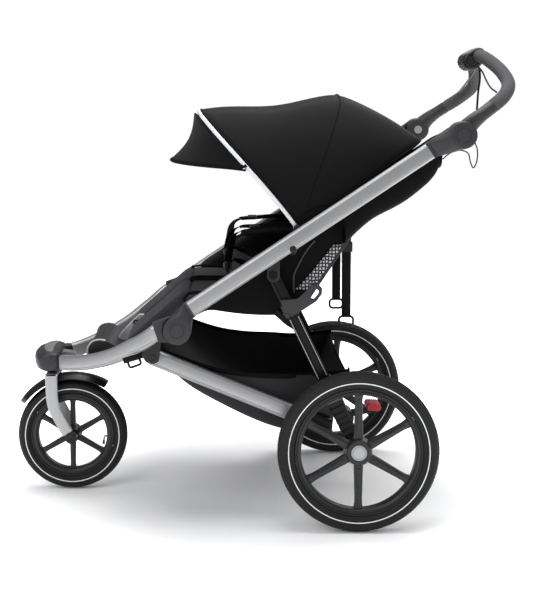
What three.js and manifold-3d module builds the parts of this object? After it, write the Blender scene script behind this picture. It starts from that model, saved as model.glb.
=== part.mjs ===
// Two-seat, three-wheel folding stroller. Millimetres, +Z up, travelling towards -X, left side on -Y.
// The origin is on the ground, under the middle of the stroller's length and width.
import * as THREE from 'three';
import { mergeVertices } from 'three/addons/utils/BufferGeometryUtils.js';
import Module from 'manifold-3d';

const wasm = await Module();
wasm.setup();

// ---------- driving dimensions ----------
const gap = 0.3; // between pieces that touch
const runningGap = 1.0; // between pieces that swing past each other

// rear wheels
const rearTrack = 714;
const rearAxleX = 242;
const rearWheelRadius = 199.5;
const rearTyreWidth = 47;
const rearTyreDepth = 42;
const rearRimDepth = 16;
const rearHubRadius = 38;
const rearHubWidth = 40;
const rearSpokeWidth = 18;
const farWheelTurn = 5; // degrees that the right wheel has rolled against the left one
const capRadius = 20;
const capThickness = 8;
const capTravel = 3;

// front wheel and fork
const frontAxleX = -503;
const frontWheelRadius = 149.5;
const frontTyreWidth = 45;
const frontTyreDepth = 36;
const frontRimDepth = 20;
const frontHubRadius = 24;
const frontHubWidth = 50;
const frontSpokeWidth = 14;
const spokeCount = 6;
const swivelX = -554;
const forkLegY = 45;
const forkLegThickness = 11;
const forkLegWidth = 30;
const forkStemRadius = 10;
const forkCrownTop = 325.5;
const forkCrownThickness = 7;
const fenderRadius = 169;
const fenderThickness = 3;
const fenderRearAngle = 56; // degrees above the horizontal
const fenderFrontAngle = 147;
const fenderFlare = 4;
const fenderDrop = 12; // of its long edges below its crown
const fenderWidth = 62;
const fenderBossHeight = 9; // of its seat under the fork's crown

// axles
const axleRadius = 8;
const rearBeamRadius = 14;

// front crosspiece
const headWidth = 186;
const headSweep = 36; // of its ends behind its middle
const headDroop = 8;
const headBottom = 341;
const headTop = 396;
const headFrontX = -604;
const headBackX = -533;
const collarRadius = 30;
const collarHeight = 15;

const leverLength = 40;

// frame tubes: an upright oblong section with bevelled edges
const tubeHeight = 40;
const tubeWidth = 26;
const tubeBevel = 7;

// mid hinge, on which the upper frame folds
const hingeX = -203;
const hingeZ = 502;
const hingeRadius = 35;
const sideY = rearTrack / 2; // mid-plane of the side tubes and hubs
const hubHalfWidth = 28;
const hubOuterY = sideY + hubHalfWidth + 1;
const hubInnerY = sideY - hubHalfWidth + 1;
const foldBarRadius = 9;
const foldBarDrop = 20; // of the bar between the hinges, below their axis

// upper side tubes
const upperTubeLowX = -175.5;
const upperTubeLowZ = 548.5;
const upperTubeHighX = 416;
const upperTubeHighZ = 942;
const seatCrossbarX = 396;
const seatCrossbarRadius = 10;

// handlebar
const tiltX = 488;
const tiltZ = 977;
const tiltRadius = 34;
const barRadius = 15.5;
const gripThickness = 3;
const brakeX = 590; // where the bar passes through the brake grip
const brakeZ = 1181;
const brakeGripRadius = 22;
const brakeNoseX = brakeX - 16; // its lower front lobe
const brakeNoseZ = brakeZ - 13;
const brakeNoseRadius = 25;
const brakeClearance = 2; // round the bar
const brakeGripLength = 92;
const buttonRadius = 12.5;
const buttonThickness = 8;

// lower tubes and their front pivots
const lowerPivotX = -266;
const lowerPivotZ = 424;
const lowerTubeEndX = 171;
const lowerTubeEndZ = 247;
const lowerTubeInset = 51; // of the lower tubes and rear legs from the side tubes
const lowerTubeY = sideY - lowerTubeInset;
const pivotPinRadius = 6;
const pivotEyeRadius = 16;

// rear legs and suspension
const legTopX = 32;
const legTopZ = 632;
const legWidth = 34;
const legThickness = 26;
const shoeLength = 55;
const shoeWidth = 40;
const shoeThickness = 38;
const blockLength = 96;
const blockWidth = 38;
const blockThickness = 26;
const blockRibs = 5;
const carrierHeight = 34; // from the axle up to the seat of the suspension block
const carrierRadius = 26;
const linkEyeHeight = 158; // from the axle up the leg to the eye of the lower tube's link

// brake pedal
const pedalReach = 96;
const pedalWidth = 66;
const pedalRise = 28;

// seats
const seatGap = 22;
const seatInset = 78; // of the seats' outer sides from the middle of the side tubes
const seatWidth = sideY - seatInset - seatGap / 2;
const seatFrontX = -182;
const seatFrontTop = 586;
const seatRearX = 84;
const seatRearTop = 580;
const seatThickness = 44;
const reclineX = 95;
const reclineZ = 536;
const reclineAngle = 56.3; // of the seat back above the horizontal
const backLength = 420;
const backThickness = 40;
const slingInset = 69;
const slingHalfWidth = sideY - slingInset;
const slingBottomZ = 518;
const slingEndRise = 15;
const hammockInset = 11; // of the fabric behind the seats inside the side tubes
const hammockHalfWidth = sideY - tubeWidth / 2 - hammockInset;
const slingThickness = 3;

// leg rests and footrest
const legRestLength = 205;
const legRestAngle = 44;
const legRestThickness = 38;
const legRestInset = 119;
const legRestFar = sideY - legRestInset;
const footrestHalfWidth = 128;
const footrestBarX = -424; // of the rod that carries it between the front tubes
const footrestBarZ = 400;
const footrestBarRadius = 5;
const footrestBarReach = 172;

// recline straps
const strapWidth = 21;
const strapThickness = 3;
const strapX = 230.5;
const strapTopZ = 719;
const strapTopRise = 10.7; // of its sloping top end, across half its width
const strapEndZ = 497;
const ringWidth = 42;
const ringHeight = 22;
const ringBar = 6;

// canopy
const canopyPivotX = 90;
const canopyPivotZ = 750;
const canopyInset = 6; // of the canopy's bows inside the side tubes
const canopyHalfWidth = sideY - tubeWidth / 2 - canopyInset;
const frontBowEye = [-3.4, 5.6]; // its sides, from the canopy's half width
const middleBowEye = [-15, -5];
const canopyPinRadius = 3.5;
const canopyPinReach = 17; // of the pins inside the canopy's half width
const canopyFrontAngle = 131;
const canopyRidgeAngle = 67;
const canopyRearAngle = 34.5;
const canopyFrontReach = 380;
const canopyRidgeReach = 357;
const canopyRearReach = 388;
const canopyCornerWidth = 200; // each bow's corners are a quarter of an ellipse
const canopyCornerHeight = 250;
const canopyFrontDip = 62; // of the fabric between its bows
const canopyRearDip = 8;
const canopyFrontLean = 4.5; // degrees by which the front bow's legs start nearer upright
const canopyThickness = 3;
const bowRadius = 5;
const canopyEdge = 8; // of the fabric's front edge behind the middle of the front bow
const visorReach = 184;
const visorTipRise = 11;
const visorSag = 17;

// basket
const basketInset = 29;
const basketHalfWidth = lowerTubeY - basketInset; // between the links of the lower tubes
const basketThickness = 3;
const basketWidest = lowerTubeY - tubeWidth / 2 - gap - basketThickness / 2; // against the tubes
const basketNarrowX = 80; // behind which it narrows

const leftAndRight = { left: -1, right: 1 };

// ---------- finishes ----------
const finish = (color, roughness, metalness) => new THREE.MeshStandardMaterial({ color, roughness,
  metalness });
const aluminium = finish(0xb9babd, 0.35, 0.9);
const darkPlastic = finish(0x38383c, 0.6, 0);
const blackPlastic = finish(0x18181a, 0.55, 0);
const greyPlastic = finish(0x9a9a9e, 0.5, 0.1);
const tyreRubber = finish(0x1c1c1e, 0.85, 0);
const gripFoam = finish(0x5a5a5c, 0.8, 0);
const blackFabric = finish(0x121213, 0.95, 0);
const seatFabric = finish(0x3a3a3c, 0.95, 0);
const trimFabric = finish(0xd8d8d8, 0.8, 0);
const redPlastic = finish(0xc8343c, 0.5, 0);
const steel = finish(0x8a8c90, 0.3, 1);
const blackSteel = finish(0x202022, 0.45, 0.6);

// ---------- building blocks ----------
const stroller = new THREE.Group();
const vector = (x, y, z) => new THREE.Vector3(x, y, z);
const radians = THREE.MathUtils.degToRad;

function solidOf(geometry) {
  const bare = geometry.index ? geometry.toNonIndexed() : geometry.clone();
  for (const name of Object.keys(bare.attributes)) if (name !== 'position') bare.deleteAttribute(name);
  const merged = mergeVertices(bare, 1e-3);
  const mesh = { numProp: 3, vertProperties: merged.attributes.position.array };
  mesh.triVerts = new Uint32Array(merged.index.array);
  const solid = new wasm.Manifold(new wasm.Mesh(mesh));
  if (solid.volume() > 0) return solid;
  for (let i = 0; i < mesh.triVerts.length; i += 3) {
    [mesh.triVerts[i], mesh.triVerts[i + 1]] = [mesh.triVerts[i + 1], mesh.triVerts[i]];
  }
  return new wasm.Manifold(new wasm.Mesh(mesh));
}

function add(name, solid, material) {
  const mesh = solid.getMesh();
  const geometry = new THREE.BufferGeometry();
  geometry.setAttribute('position', new THREE.BufferAttribute(mesh.vertProperties.slice(), 3));
  geometry.setIndex(new THREE.BufferAttribute(mesh.triVerts.slice(), 1));
  geometry.computeVertexNormals();
  const part = new THREE.Mesh(geometry, material);
  part.name = name;
  stroller.add(part);
}

const join = (first, ...rest) => rest.reduce((sum, next) => sum.add(next), first);
const cut = (first, ...rest) => rest.reduce((sum, next) => sum.subtract(next), first);

// A plate with an outline in the XZ plane, from y = low to y = high. Points are [x, z].
function plate(outline, low, high) {
  const shape = outline instanceof THREE.Shape ? outline : new THREE.Shape(outline.map(([x,
    z]) => new THREE.Vector2(x, z)));
  const geometry = new THREE.ExtrudeGeometry(shape, { depth: high - low, bevelEnabled: false,
    curveSegments: 6 });
  return solidOf(geometry.rotateX(Math.PI / 2).translate(0, high, 0));
}

// The same on either side: near and far are distances from the middle plane.
const sidePlate = (outline, side, near, far) => plate(outline,
  ...[side * near, side * far].sort((a, b) => a - b));

// A cylinder along Y through (x, z), from y = low to y = high.
function pin(x, z, radius, low, high, sides = 20) {
  const geometry = new THREE.CylinderGeometry(radius, radius, high - low, sides);
  return solidOf(geometry.translate(x, (low + high) / 2, z));
}

const sidePin = (x, z, radius, side, near, far, sides) =>
  pin(x, z, radius, ...[side * near, side * far].sort((a, b) => a - b), sides);

// An upright cylinder on (x, y), from z = low to z = high.
function post(x, y, radius, low, high, sides = 20) {
  const geometry = new THREE.CylinderGeometry(radius, radius, high - low, sides).rotateX(Math.PI / 2);
  return solidOf(geometry.translate(x, y, (low + high) / 2));
}

function box(x, y, z, dx, dy, dz) {
  return solidOf(new THREE.BoxGeometry(dx, dy, dz).translate(x, y, z));
}

// The outline round two circles, as a link plate has.
function linkOutline(x1, z1, r1, x2, z2, r2) {
  const along = Math.atan2(z2 - z1, x2 - x1);
  const lean = Math.acos((r1 - r2) / Math.hypot(x2 - x1, z2 - z1));
  const shape = new THREE.Shape();
  shape.absarc(x1, z1, r1, along + lean, along - lean + 2 * Math.PI, false);
  shape.absarc(x2, z2, r2, along - lean, along + lean, false);
  return shape;
}

// Closes a row of rings, each a list of points in the same order, into a solid with flat ends.
function loft(rings) {
  const count = rings[0].length;
  const positions = rings.flat().flatMap((p) => [p.x, p.y, p.z]);
  const index = [];
  for (let i = 0; i + 1 < rings.length; i++) {
    for (let j = 0; j < count; j++) {
      const a = i * count + j;
      const b = i * count + ((j + 1) % count);
      index.push(a, b, b + count, a, b + count, a + count);
    }
  }
  for (const [ring, start] of [[rings[0], 0], [rings.at(-1), (rings.length - 1) * count]]) {
    const middle = ring.reduce((sum, p) => sum.add(p), vector(0, 0, 0)).divideScalar(count);
    const centre = positions.length / 3;
    positions.push(middle.x, middle.y, middle.z);
    for (let j = 0; j < count; j++) {
      const next = start + ((j + 1) % count);
      index.push(...(start === 0 ? [centre, next, start + j] : [centre, start + j, next]));
    }
  }
  const geometry = new THREE.BufferGeometry();
  geometry.setAttribute('position', new THREE.Float32BufferAttribute(positions, 3));
  geometry.setIndex(index);
  return solidOf(geometry);
}

// A sheet of even thickness whose middle surface is a grid of points.
function sheet(grid, thickness) {
  const rows = grid.length;
  const columns = grid[0].length;
  const at = (i, j) => grid[Math.min(Math.max(i, 0), rows - 1)][Math.min(Math.max(j, 0), columns - 1)];
  const outer = [];
  const inner = [];
  for (let i = 0; i < rows; i++) {
    for (let j = 0; j < columns; j++) {
      const along = at(i + 1, j).clone().sub(at(i - 1, j));
      const across = at(i, j + 1).clone().sub(at(i, j - 1));
      const normal = along.cross(across).normalize().multiplyScalar(thickness / 2);
      outer.push(at(i, j).clone().add(normal));
      inner.push(at(i, j).clone().sub(normal));
    }
  }
  const index = [];
  const size = rows * columns;
  const quad = (a, b, c, d) => index.push(a, b, c, a, c, d);
  for (let i = 0; i + 1 < rows; i++) {
    for (let j = 0; j + 1 < columns; j++) {
      const a = i * columns + j;
      quad(a, a + columns, a + columns + 1, a + 1);
      quad(size + a, size + a + 1, size + a + columns + 1, size + a + columns);
    }
  }
  const rim = [];
  for (let j = 0; j < columns - 1; j++) rim.push(j);
  for (let i = 0; i < rows - 1; i++) rim.push(i * columns + columns - 1);
  for (let j = columns - 1; j > 0; j--) rim.push((rows - 1) * columns + j);
  for (let i = rows - 1; i > 0; i--) rim.push(i * columns);
  rim.forEach((a, k) => {
    const b = rim[(k + 1) % rim.length];
    quad(a, b, size + b, size + a);
  });
  const geometry = new THREE.BufferGeometry();
  const positions = [...outer, ...inner].flatMap((p) => [p.x, p.y, p.z]);
  geometry.setAttribute('position', new THREE.Float32BufferAttribute(positions, 3));
  geometry.setIndex(index);
  return solidOf(geometry);
}

// A round bar, cord or sleeve along a smooth curve; a sleeve has a bore.
function roundBar(points, radius, steps, sides = 10, bore = 0) {
  const path = new THREE.CatmullRomCurve3(points, false, 'centripetal');
  const ring = (r) => Array.from({ length: sides }, (_, k) => {
    const angle = (2 * Math.PI * k) / sides;
    return new THREE.Vector2(r * Math.cos(angle), r * Math.sin(angle));
  });
  const shape = new THREE.Shape(ring(radius));
  if (bore > 0) shape.holes.push(new THREE.Path(ring(bore).reverse()));
  return solidOf(new THREE.ExtrudeGeometry(shape, { steps, bevelEnabled: false, extrudePath: path }));
}

// An oblong frame tube along a curve, kept upright, or the room it takes with a clearance round it.
function frameTube(points, steps, clearance = 0) {
  const path = new THREE.CatmullRomCurve3(points, false, 'centripetal');
  const w = tubeWidth / 2 + clearance;
  const h = tubeHeight / 2 + clearance;
  const b = tubeBevel;
  const section = [[w, -h + b], [w, h - b], [w - b, h], [-w + b, h], [-w, h - b], [-w, -h + b], [-w + b, -h],
    [w - b, -h]];
  const rings = [];
  for (let i = 0; i <= steps; i++) {
    const centre = path.getPointAt(i / steps);
    const along = path.getTangentAt(i / steps);
    const across = along.clone().cross(vector(0, 0, 1)).normalize();
    const upward = across.clone().cross(along);
    rings.push(section.map(([u, v]) => centre.clone().addScaledVector(across, u).addScaledVector(upward, v)));
  }
  return loft(rings);
}

// A padded slab between two points in the XZ plane, with rounded long edges, hanging below that line.
function padOutline(x1, z1, x2, z2, thickness, round) {
  const along = new THREE.Vector2(x2 - x1, z2 - z1);
  const length = along.length();
  const angle = along.angle();
  const shape = new THREE.Shape();
  const place = (u, v) => new THREE.Vector2(u, v).rotateAround(new THREE.Vector2(0, 0),
    angle).add(new THREE.Vector2(x1, z1));
  const arcs = [[round, -round, 180, 90], [length - round, -round, 90, 0],
    [length - round, -thickness + round, 0, -90], [round, -thickness + round, -90, -180]];
  const points = [];
  for (const [u, v, from, to] of arcs) {
    for (let k = 0; k <= 4; k++) {
      const turn = radians(from + ((to - from) * k) / 4);
      points.push(place(u + round * Math.cos(turn), v + round * Math.sin(turn)));
    }
  }
  shape.setFromPoints(points);
  return shape;
}

// ---------- wheels ----------
// A lathe about the Y axis through (x, z); the profile is a closed list of [radius, y].
function wheelLathe(profile, x, y, z, turn = 0) {
  const points = [...profile, profile[0]].map(([r, w]) => new THREE.Vector2(r, w));
  const geometry = new THREE.LatheGeometry(points, 40);
  return solidOf(geometry.rotateY(radians(turn)).translate(x, y, z));
}

function tyreProfile(radius, width, depth) {
  const half = width / 2;
  const bead = radius - depth;
  return [
    [bead, -half * 0.6], [bead + depth * 0.3, -half * 0.92], [radius - depth * 0.4, -half],
    [radius - depth * 0.14, -half * 0.72], [radius, -half * 0.25], [radius, half * 0.25],
    [radius - depth * 0.14, half * 0.72], [radius - depth * 0.4, half], [bead + depth * 0.3, half * 0.92],
    [bead, half * 0.6],
  ];
}

function spokedRim(size, x, y, z, turn) {
  const outer = size.radius - size.tyreDepth - gap;
  const inner = outer - size.rimDepth;
  const half = size.tyreWidth * 0.36;
  const ring = wheelLathe([[inner, -half * 0.45], [outer, -half], [outer, half], [inner, half * 0.45]], x, y,
    z);
  const hub = pin(x, z, size.hubRadius, y - size.hubWidth / 2, y + size.hubWidth / 2, 24);
  const bore = pin(x, z, axleRadius + gap, y - size.hubWidth, y + size.hubWidth, 16);
  const spokes = [];
  for (let k = 0; k < spokeCount; k++) {
    const reach = inner + size.rimDepth / 2;
    const spoke = new THREE.BoxGeometry(size.spokeWidth, half * 0.9, reach).translate(0, 0, reach / 2);
    const angle = radians(turn + (360 * k) / spokeCount);
    spokes.push(solidOf(spoke.rotateY(angle).translate(x, y, z)));
  }
  return cut(join(ring, hub, ...spokes), bore);
}

const frontWheel = {
  radius: frontWheelRadius, tyreWidth: frontTyreWidth, tyreDepth: frontTyreDepth, rimDepth: frontRimDepth,
  hubRadius: frontHubRadius, hubWidth: frontHubWidth, spokeWidth: frontSpokeWidth,
};
const rearWheel = {
  radius: rearWheelRadius, tyreWidth: rearTyreWidth, tyreDepth: rearTyreDepth, rimDepth: rearRimDepth,
  hubRadius: rearHubRadius, hubWidth: rearHubWidth, spokeWidth: rearSpokeWidth,
};

function addWheel(prefix, size, x, y, turn, suffix = '') {
  const tyre = wheelLathe(tyreProfile(size.radius, size.tyreWidth, size.tyreDepth), x, y, size.radius);
  add(`${prefix}_tyre${suffix}`, tyre, tyreRubber);
  return spokedRim(size, x, y, size.radius, turn);
}

add('front_rim', addWheel('front', frontWheel, frontAxleX, 0, 0), darkPlastic);

const capPocketDepth = capThickness - 1 + capTravel;
for (const [name, side] of Object.entries(leftAndRight)) {
  const middle = (side * rearTrack) / 2;
  const face = rearTrack / 2 + rearHubWidth / 2;
  const rim = addWheel('rear', rearWheel, rearAxleX, middle, side < 0 ? 0 : farWheelTurn, `_${name}`);
  const pocket = sidePin(rearAxleX, rearWheelRadius, capRadius + gap, side, face - capPocketDepth, face + 1,
    24);
  add(`rear_rim_${name}`, cut(rim, pocket), darkPlastic);
  const capStart = face - capPocketDepth + capTravel;
  const cap = sidePin(rearAxleX, rearWheelRadius, capRadius, side, capStart, capStart + capThickness, 24);
  add(`hub_cap_${name}`, cap, greyPlastic);
}

// ---------- fork ----------
const forkLegOuter = forkLegY + forkLegThickness / 2;
const forkLegInner = forkLegY - forkLegThickness / 2;
const crownBottom = forkCrownTop - forkCrownThickness;

function forkLeg(side) {
  const half = forkLegWidth / 2;
  const bendTop = 250;
  const eye = 17;
  const shape = new THREE.Shape();
  shape.moveTo(swivelX - half, forkCrownTop);
  shape.lineTo(swivelX - half, bendTop);
  shape.quadraticCurveTo(swivelX - half + 2, 190, frontAxleX - eye * 0.8, frontWheelRadius - eye * 0.6);
  shape.absarc(frontAxleX, frontWheelRadius, eye, radians(217), radians(400), false);
  shape.quadraticCurveTo(swivelX + half, 205, swivelX + half, bendTop);
  shape.lineTo(swivelX + half, forkCrownTop);
  return sidePlate(shape, side, forkLegInner, forkLegOuter);
}

const crown = box(swivelX, 0, (forkCrownTop + crownBottom) / 2, forkLegWidth, 2 * forkLegOuter,
  forkCrownThickness);
const stemTop = headTop - 12;
const stem = post(swivelX, 0, forkStemRadius, crownBottom, stemTop);
const frontAxle = pin(frontAxleX, frontWheelRadius, axleRadius, -forkLegOuter - 5, forkLegOuter + 5, 16);
add('fork', join(crown, forkLeg(-1), forkLeg(1), stem, frontAxle), aluminium);

const fenderSteps = 10;

// The mudguard is an arc of sheet over the wheel, from its rear tip to its front tip.
function fenderGrid() {
  const rows = [];
  for (let i = 0; i <= fenderSteps; i++) {
    const t = i / fenderSteps;
    const angle = radians(THREE.MathUtils.lerp(fenderRearAngle, fenderFrontAngle, t));
    const flare = fenderRadius + fenderFlare * Math.max(0, 1 - 4 * t);
    const row = [];
    for (let j = -3; j <= 3; j++) {
      const y = (j / 3) * (fenderWidth / 2);
      const drop = fenderDrop * Math.pow(Math.abs(j) / 3, 2.5);
      const reach = flare - drop;
      row.push(vector(frontAxleX + reach * Math.cos(angle), y, frontWheelRadius + reach * Math.sin(angle)));
    }
    rows.push(row);
  }
  return rows;
}
const fenderBoss = box(swivelX, 0, crownBottom - gap - fenderBossHeight / 2, forkLegWidth - 6,
  forkLegWidth - 6, fenderBossHeight);
add('front_fender', join(sheet(fenderGrid(), fenderThickness), fenderBoss), blackPlastic);

// ---------- front crosspiece ----------
// Sections of the crosspiece: its ends are swept back and lower than its middle.
function headSection(y) {
  const end = Math.pow(Math.abs(y) / (headWidth / 2), 2);
  const front = headFrontX + headSweep * end;
  const top = headTop - headDroop * end;
  const outline = [
    [front + 12, headBottom], [front + 2, headBottom + 10], [front, headBottom + 30], [front + 10, top - 6],
    [front + 24, top], [headBackX - 16, top - 1], [headBackX - 3, top - 8], [headBackX, top - 20],
    [headBackX, headBottom + 8], [headBackX - 8, headBottom],
  ];
  return outline.map(([x, z]) => vector(x, y, z));
}

function headSolid() {
  const stations = [-1, -0.9, -0.55, 0, 0.55, 0.9, 1];
  const beam = loft(stations.map((k) => headSection(k * (headWidth / 2))));
  const collar = post(swivelX, 0, collarRadius, headBottom - collarHeight, headBottom + 2, 24);
  const bore = post(swivelX, 0, forkStemRadius + gap, headBottom - collarHeight - 1, stemTop + 2);
  return cut(join(beam, collar), bore);
}
add('front_crosspiece', headSolid(), darkPlastic);

const leverStartX = headBackX + 1.5;
const lever = plate(padOutline(leverStartX, headTop - 14, leverStartX + leverLength, headTop - 20, 13, 6.4),
  -17, 17);
add('swivel_lock_lever', lever, greyPlastic);

// ---------- front tubes ----------
const footrestBarRoom = [];
const frontTubeEndX = -254;
const frontTubeEndZ = 494; // of its middle line
for (const [name, side] of Object.entries(leftAndRight)) {
  const route = [
    vector(headBackX - 8, 66, 361), vector(-500, 100, 366), vector(-440, 165, 382), vector(-370, 245, 413),
    vector(-320, sideY - 54, 446), vector(-286, sideY - 12, 470), vector(frontTubeEndX - 8, sideY,
      489), vector(frontTubeEndX, sideY, 495),
  ];
  const points = route.map((p) => vector(p.x, side * p.y, p.z));
  const head = box(headBackX - 50 + gap, 0, 365, 100, 2 * sideY, 120);
  const hub = box(frontTubeEndX + 50, 0, 490, 100, 3 * sideY, 120);
  add(`front_tube_${name}`, cut(frameTube(points, 20), head, hub), aluminium);
  footrestBarRoom.push(frameTube(points, 20, gap));
}

// ---------- mid hinge ----------
const splitY = sideY + 0.7; // plane between the inner and the outer half of a hub
const tubeInner = sideY - tubeWidth / 2;
const tubeOuter = sideY + tubeWidth / 2;
const halfTube = tubeHeight / 2;
const legInner = lowerTubeY - legThickness / 2;
const legOuter = lowerTubeY + legThickness / 2;

const upperSlope = Math.atan2(upperTubeHighZ - upperTubeLowZ, upperTubeHighX - upperTubeLowX);
const alongUpper = (t) => [upperTubeLowX + t * Math.cos(upperSlope),
  upperTubeLowZ + t * Math.sin(upperSlope)];
const upperTubeLength = Math.hypot(upperTubeHighX - upperTubeLowX, upperTubeHighZ - upperTubeLowZ);

function innerKnuckle(side) {
  const disc = sidePin(hingeX, hingeZ, hingeRadius - 2, side, tubeInner, splitY - gap, 24);
  const endX = frontTubeEndX + gap;
  const outline = [
    [endX, frontTubeEndZ + 24], [endX, frontTubeEndZ - 24], [hingeX - 6, hingeZ - 30], [hingeX - 8,
      hingeZ + 30],
  ];
  const arm = sidePlate(outline, side, tubeInner, tubeOuter);
  const swept = sidePin(hingeX, hingeZ, hingeRadius + runningGap, side, splitY - gap, hubOuterY, 24);
  return join(disc, cut(arm, swept));
}
const foldBar = pin(hingeX, hingeZ - foldBarDrop, foldBarRadius, -tubeInner - 2, tubeInner + 2, 16);
add('hinge_yoke', join(innerKnuckle(-1), foldBar, innerKnuckle(1)), darkPlastic);

for (const [name, side] of Object.entries(leftAndRight)) {
  const disc = sidePin(hingeX, hingeZ, hingeRadius, side, splitY, hubOuterY, 24);
  const rim = sidePin(hingeX, hingeZ, hingeRadius * 0.62, side, hubOuterY - 3, hubOuterY + 1, 24);
  const dome = sidePin(hingeX, hingeZ, hingeRadius * 0.5, side, hubOuterY - 4, hubOuterY, 24);
  const [ex, ez] = alongUpper(-gap);
  const tx = Math.cos(upperSlope);
  const tz = Math.sin(upperSlope);
  const outline = [
    [ex - tz * 19, ez + tx * 19], [ex + tz * 19, ez - tx * 19], [hingeX + 30, hingeZ + 6], [hingeX - 12,
      hingeZ + 26],
  ];
  const arm = sidePlate(outline, side, tubeInner, tubeOuter);
  const swept = sidePin(hingeX, hingeZ, hingeRadius - 2 + runningGap, side, tubeInner - 1, splitY, 24);
  add(`hinge_cover_${name}`, join(cut(disc, rim), dome, cut(arm, swept)), darkPlastic);
}

// ---------- upper side tubes, joined by a crossbar behind the seats ----------
function upperTube(side) {
  const start = vector(upperTubeLowX, side * sideY, upperTubeLowZ);
  const end = vector(upperTubeHighX, side * sideY, upperTubeHighZ);
  return frameTube([start, start.clone().lerp(end, 0.5), end], 1);
}
const crossbarZ = upperTubeLowZ + (seatCrossbarX - upperTubeLowX) * Math.tan(upperSlope) - 4;
const crossbar = pin(seatCrossbarX - 12, crossbarZ - 8, seatCrossbarRadius, -tubeInner - 2, tubeInner + 2,
  16);

const canopyPin = (side) =>
  sidePin(canopyPivotX, canopyPivotZ, canopyPinRadius, side, canopyHalfWidth - canopyPinReach, tubeInner + 4,
    12);

function upperSide(side) {
  const lug = sidePlate(linkOutline(canopyPivotX, canopyPivotZ, 8, canopyPivotX + 4, canopyPivotZ - 20, 10),
    side,
    tubeInner + 0.3, tubeInner + 8);
  return join(upperTube(side), lug, canopyPin(side));
}
add('upper_frame_tube', join(upperSide(-1), crossbar, upperSide(1)), aluminium);

// ---------- tilt hubs ----------
for (const [name, side] of Object.entries(leftAndRight)) {
  const disc = sidePin(tiltX, tiltZ, tiltRadius, side, splitY, hubOuterY, 24);
  const [ex, ez] = alongUpper(upperTubeLength + gap);
  const tx = Math.cos(upperSlope);
  const tz = Math.sin(upperSlope);
  const outline = [
    [ex - tz * 20, ez + tx * 20], [ex + tz * 20, ez - tx * 20], [tiltX - 8, tiltZ - 26], [tiltX - 22,
      tiltZ + 24],
  ];
  const arm = sidePlate(outline, side, tubeInner, hubOuterY - 6);
  const swept = sidePin(tiltX, tiltZ, tiltRadius - 1 + runningGap, side, tubeInner - 1, splitY, 24);
  add(`tilt_bracket_${name}`, join(disc, cut(arm, swept)), darkPlastic);
}

// ---------- handlebar ----------
const armY = (hubInnerY + splitY) / 2;
const barRoute = [
  [tiltX, armY, tiltZ], [517, armY - 4, 1008], [568, sideY - 37, 1045], [606, sideY - 69, 1072], [632, 228,
    1103],
  [627, 172, 1135], [609, 114, brakeZ - 18], [596, 70, brakeZ - 4], [brakeX + 1, 50, brakeZ - 0.5],
  [brakeX, 24, brakeZ],
];
const halfBar = barRoute.map(([x, y, z]) => vector(x, -y, z));
const fullBar = [...halfBar, ...halfBar.map((p) => vector(p.x, -p.y, p.z)).reverse()];

function handlebarSolid() {
  const parts = [];
  for (const side of [-1, 1]) {
    const knuckle = sidePin(tiltX, tiltZ, tiltRadius - 1, side, hubInnerY, splitY - gap, 24);
    parts.push(knuckle);
  }
  const bar = roundBar(fullBar, barRadius, 36, 8);
  const trim = [-1, 1].map((side) => sidePin(tiltX, tiltZ, tiltRadius + 30, side, splitY - gap, splitY + 60,
    24));
  const pockets = [-1, 1].map((side) =>
    sidePin(tiltX, tiltZ, buttonRadius + gap, side, hubInnerY - 20, hubInnerY + buttonThickness, 20));
  return cut(join(bar, ...parts), ...trim, ...pockets);
}
add('handlebar', handlebarSolid(), darkPlastic);

const gripSleeve = roundBar(fullBar, barRadius + gap + gripThickness, 36, 8, barRadius + gap);
const armZone = [-1, 1].map((side) => box(480, side * (sideY + 23), 1000, 400, 130, 400));
const brakeZone = box(brakeX, 0, brakeZ, 120, brakeGripLength + 2 * gap, 120);
const sleeves = cut(gripSleeve, ...armZone, brakeZone).decompose();
sleeves.sort((a, b) => a.boundingBox().min[1] - b.boundingBox().min[1]);
add('grip_left', sleeves[0], gripFoam);
add('grip_right', sleeves[1], gripFoam);

const brakeOutline = linkOutline(brakeX, brakeZ, brakeGripRadius, brakeNoseX, brakeNoseZ, brakeNoseRadius);
const brakeBody = plate(brakeOutline, -brakeGripLength / 2, brakeGripLength / 2);
const brakeBore = pin(brakeX, brakeZ, barRadius + brakeClearance, -brakeGripLength, brakeGripLength, 24);
add('brake_grip', cut(brakeBody, brakeBore), blackPlastic);

for (const [name, side] of Object.entries(leftAndRight)) {
  const button = sidePin(tiltX, tiltZ, buttonRadius, side, hubInnerY - 4, hubInnerY + buttonThickness - 4,
    20);
  add(`tilt_button_${name}`, button, greyPlastic);
}

// ---------- cables and wrist strap ----------
const cableRadius = 2.5;
const cableRoute = [[591, sideY - 95, 1082], [590, 200, 1094], [593, 130, brakeZ - 67],
  [597, 60, brakeZ - 43],
  [595.6, 18, brakeZ - 30.6]];
const cableRun = (side) => cableRoute.map(([x, y, z]) => vector(x, side * y, z));
const cable = roundBar([...cableRun(-1), vector(595.6, 0, brakeZ - 30.6), ...cableRun(1).reverse()],
  cableRadius,
  32, 6);
add('brake_cable', cable, blackPlastic);
const slackRadius = 1.6;
const slackRoute = [
  [444, 918], [458, 930], [474, 938], [492, 939], [506, 932], [512, 910], [519, 897], [527, 912], [528,
    942], [519.9, 963.9],
];
const slack = roundBar(slackRoute.map(([x, z]) => vector(x, -sideY + 12, z)), slackRadius, 26, 6);
add('brake_cable_loop', slack, blackPlastic);
const tether = [[601.5, 0, brakeZ - 31], [602, 5, brakeZ - 59], [597, 8, brakeZ - 96],
  [595, 8, brakeZ - 126], [594, 8, brakeZ - 145]];
add('wrist_strap', roundBar(tether.map(([x, y, z]) => vector(x, -y, z)), 3, 10, 6), blackFabric);

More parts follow.
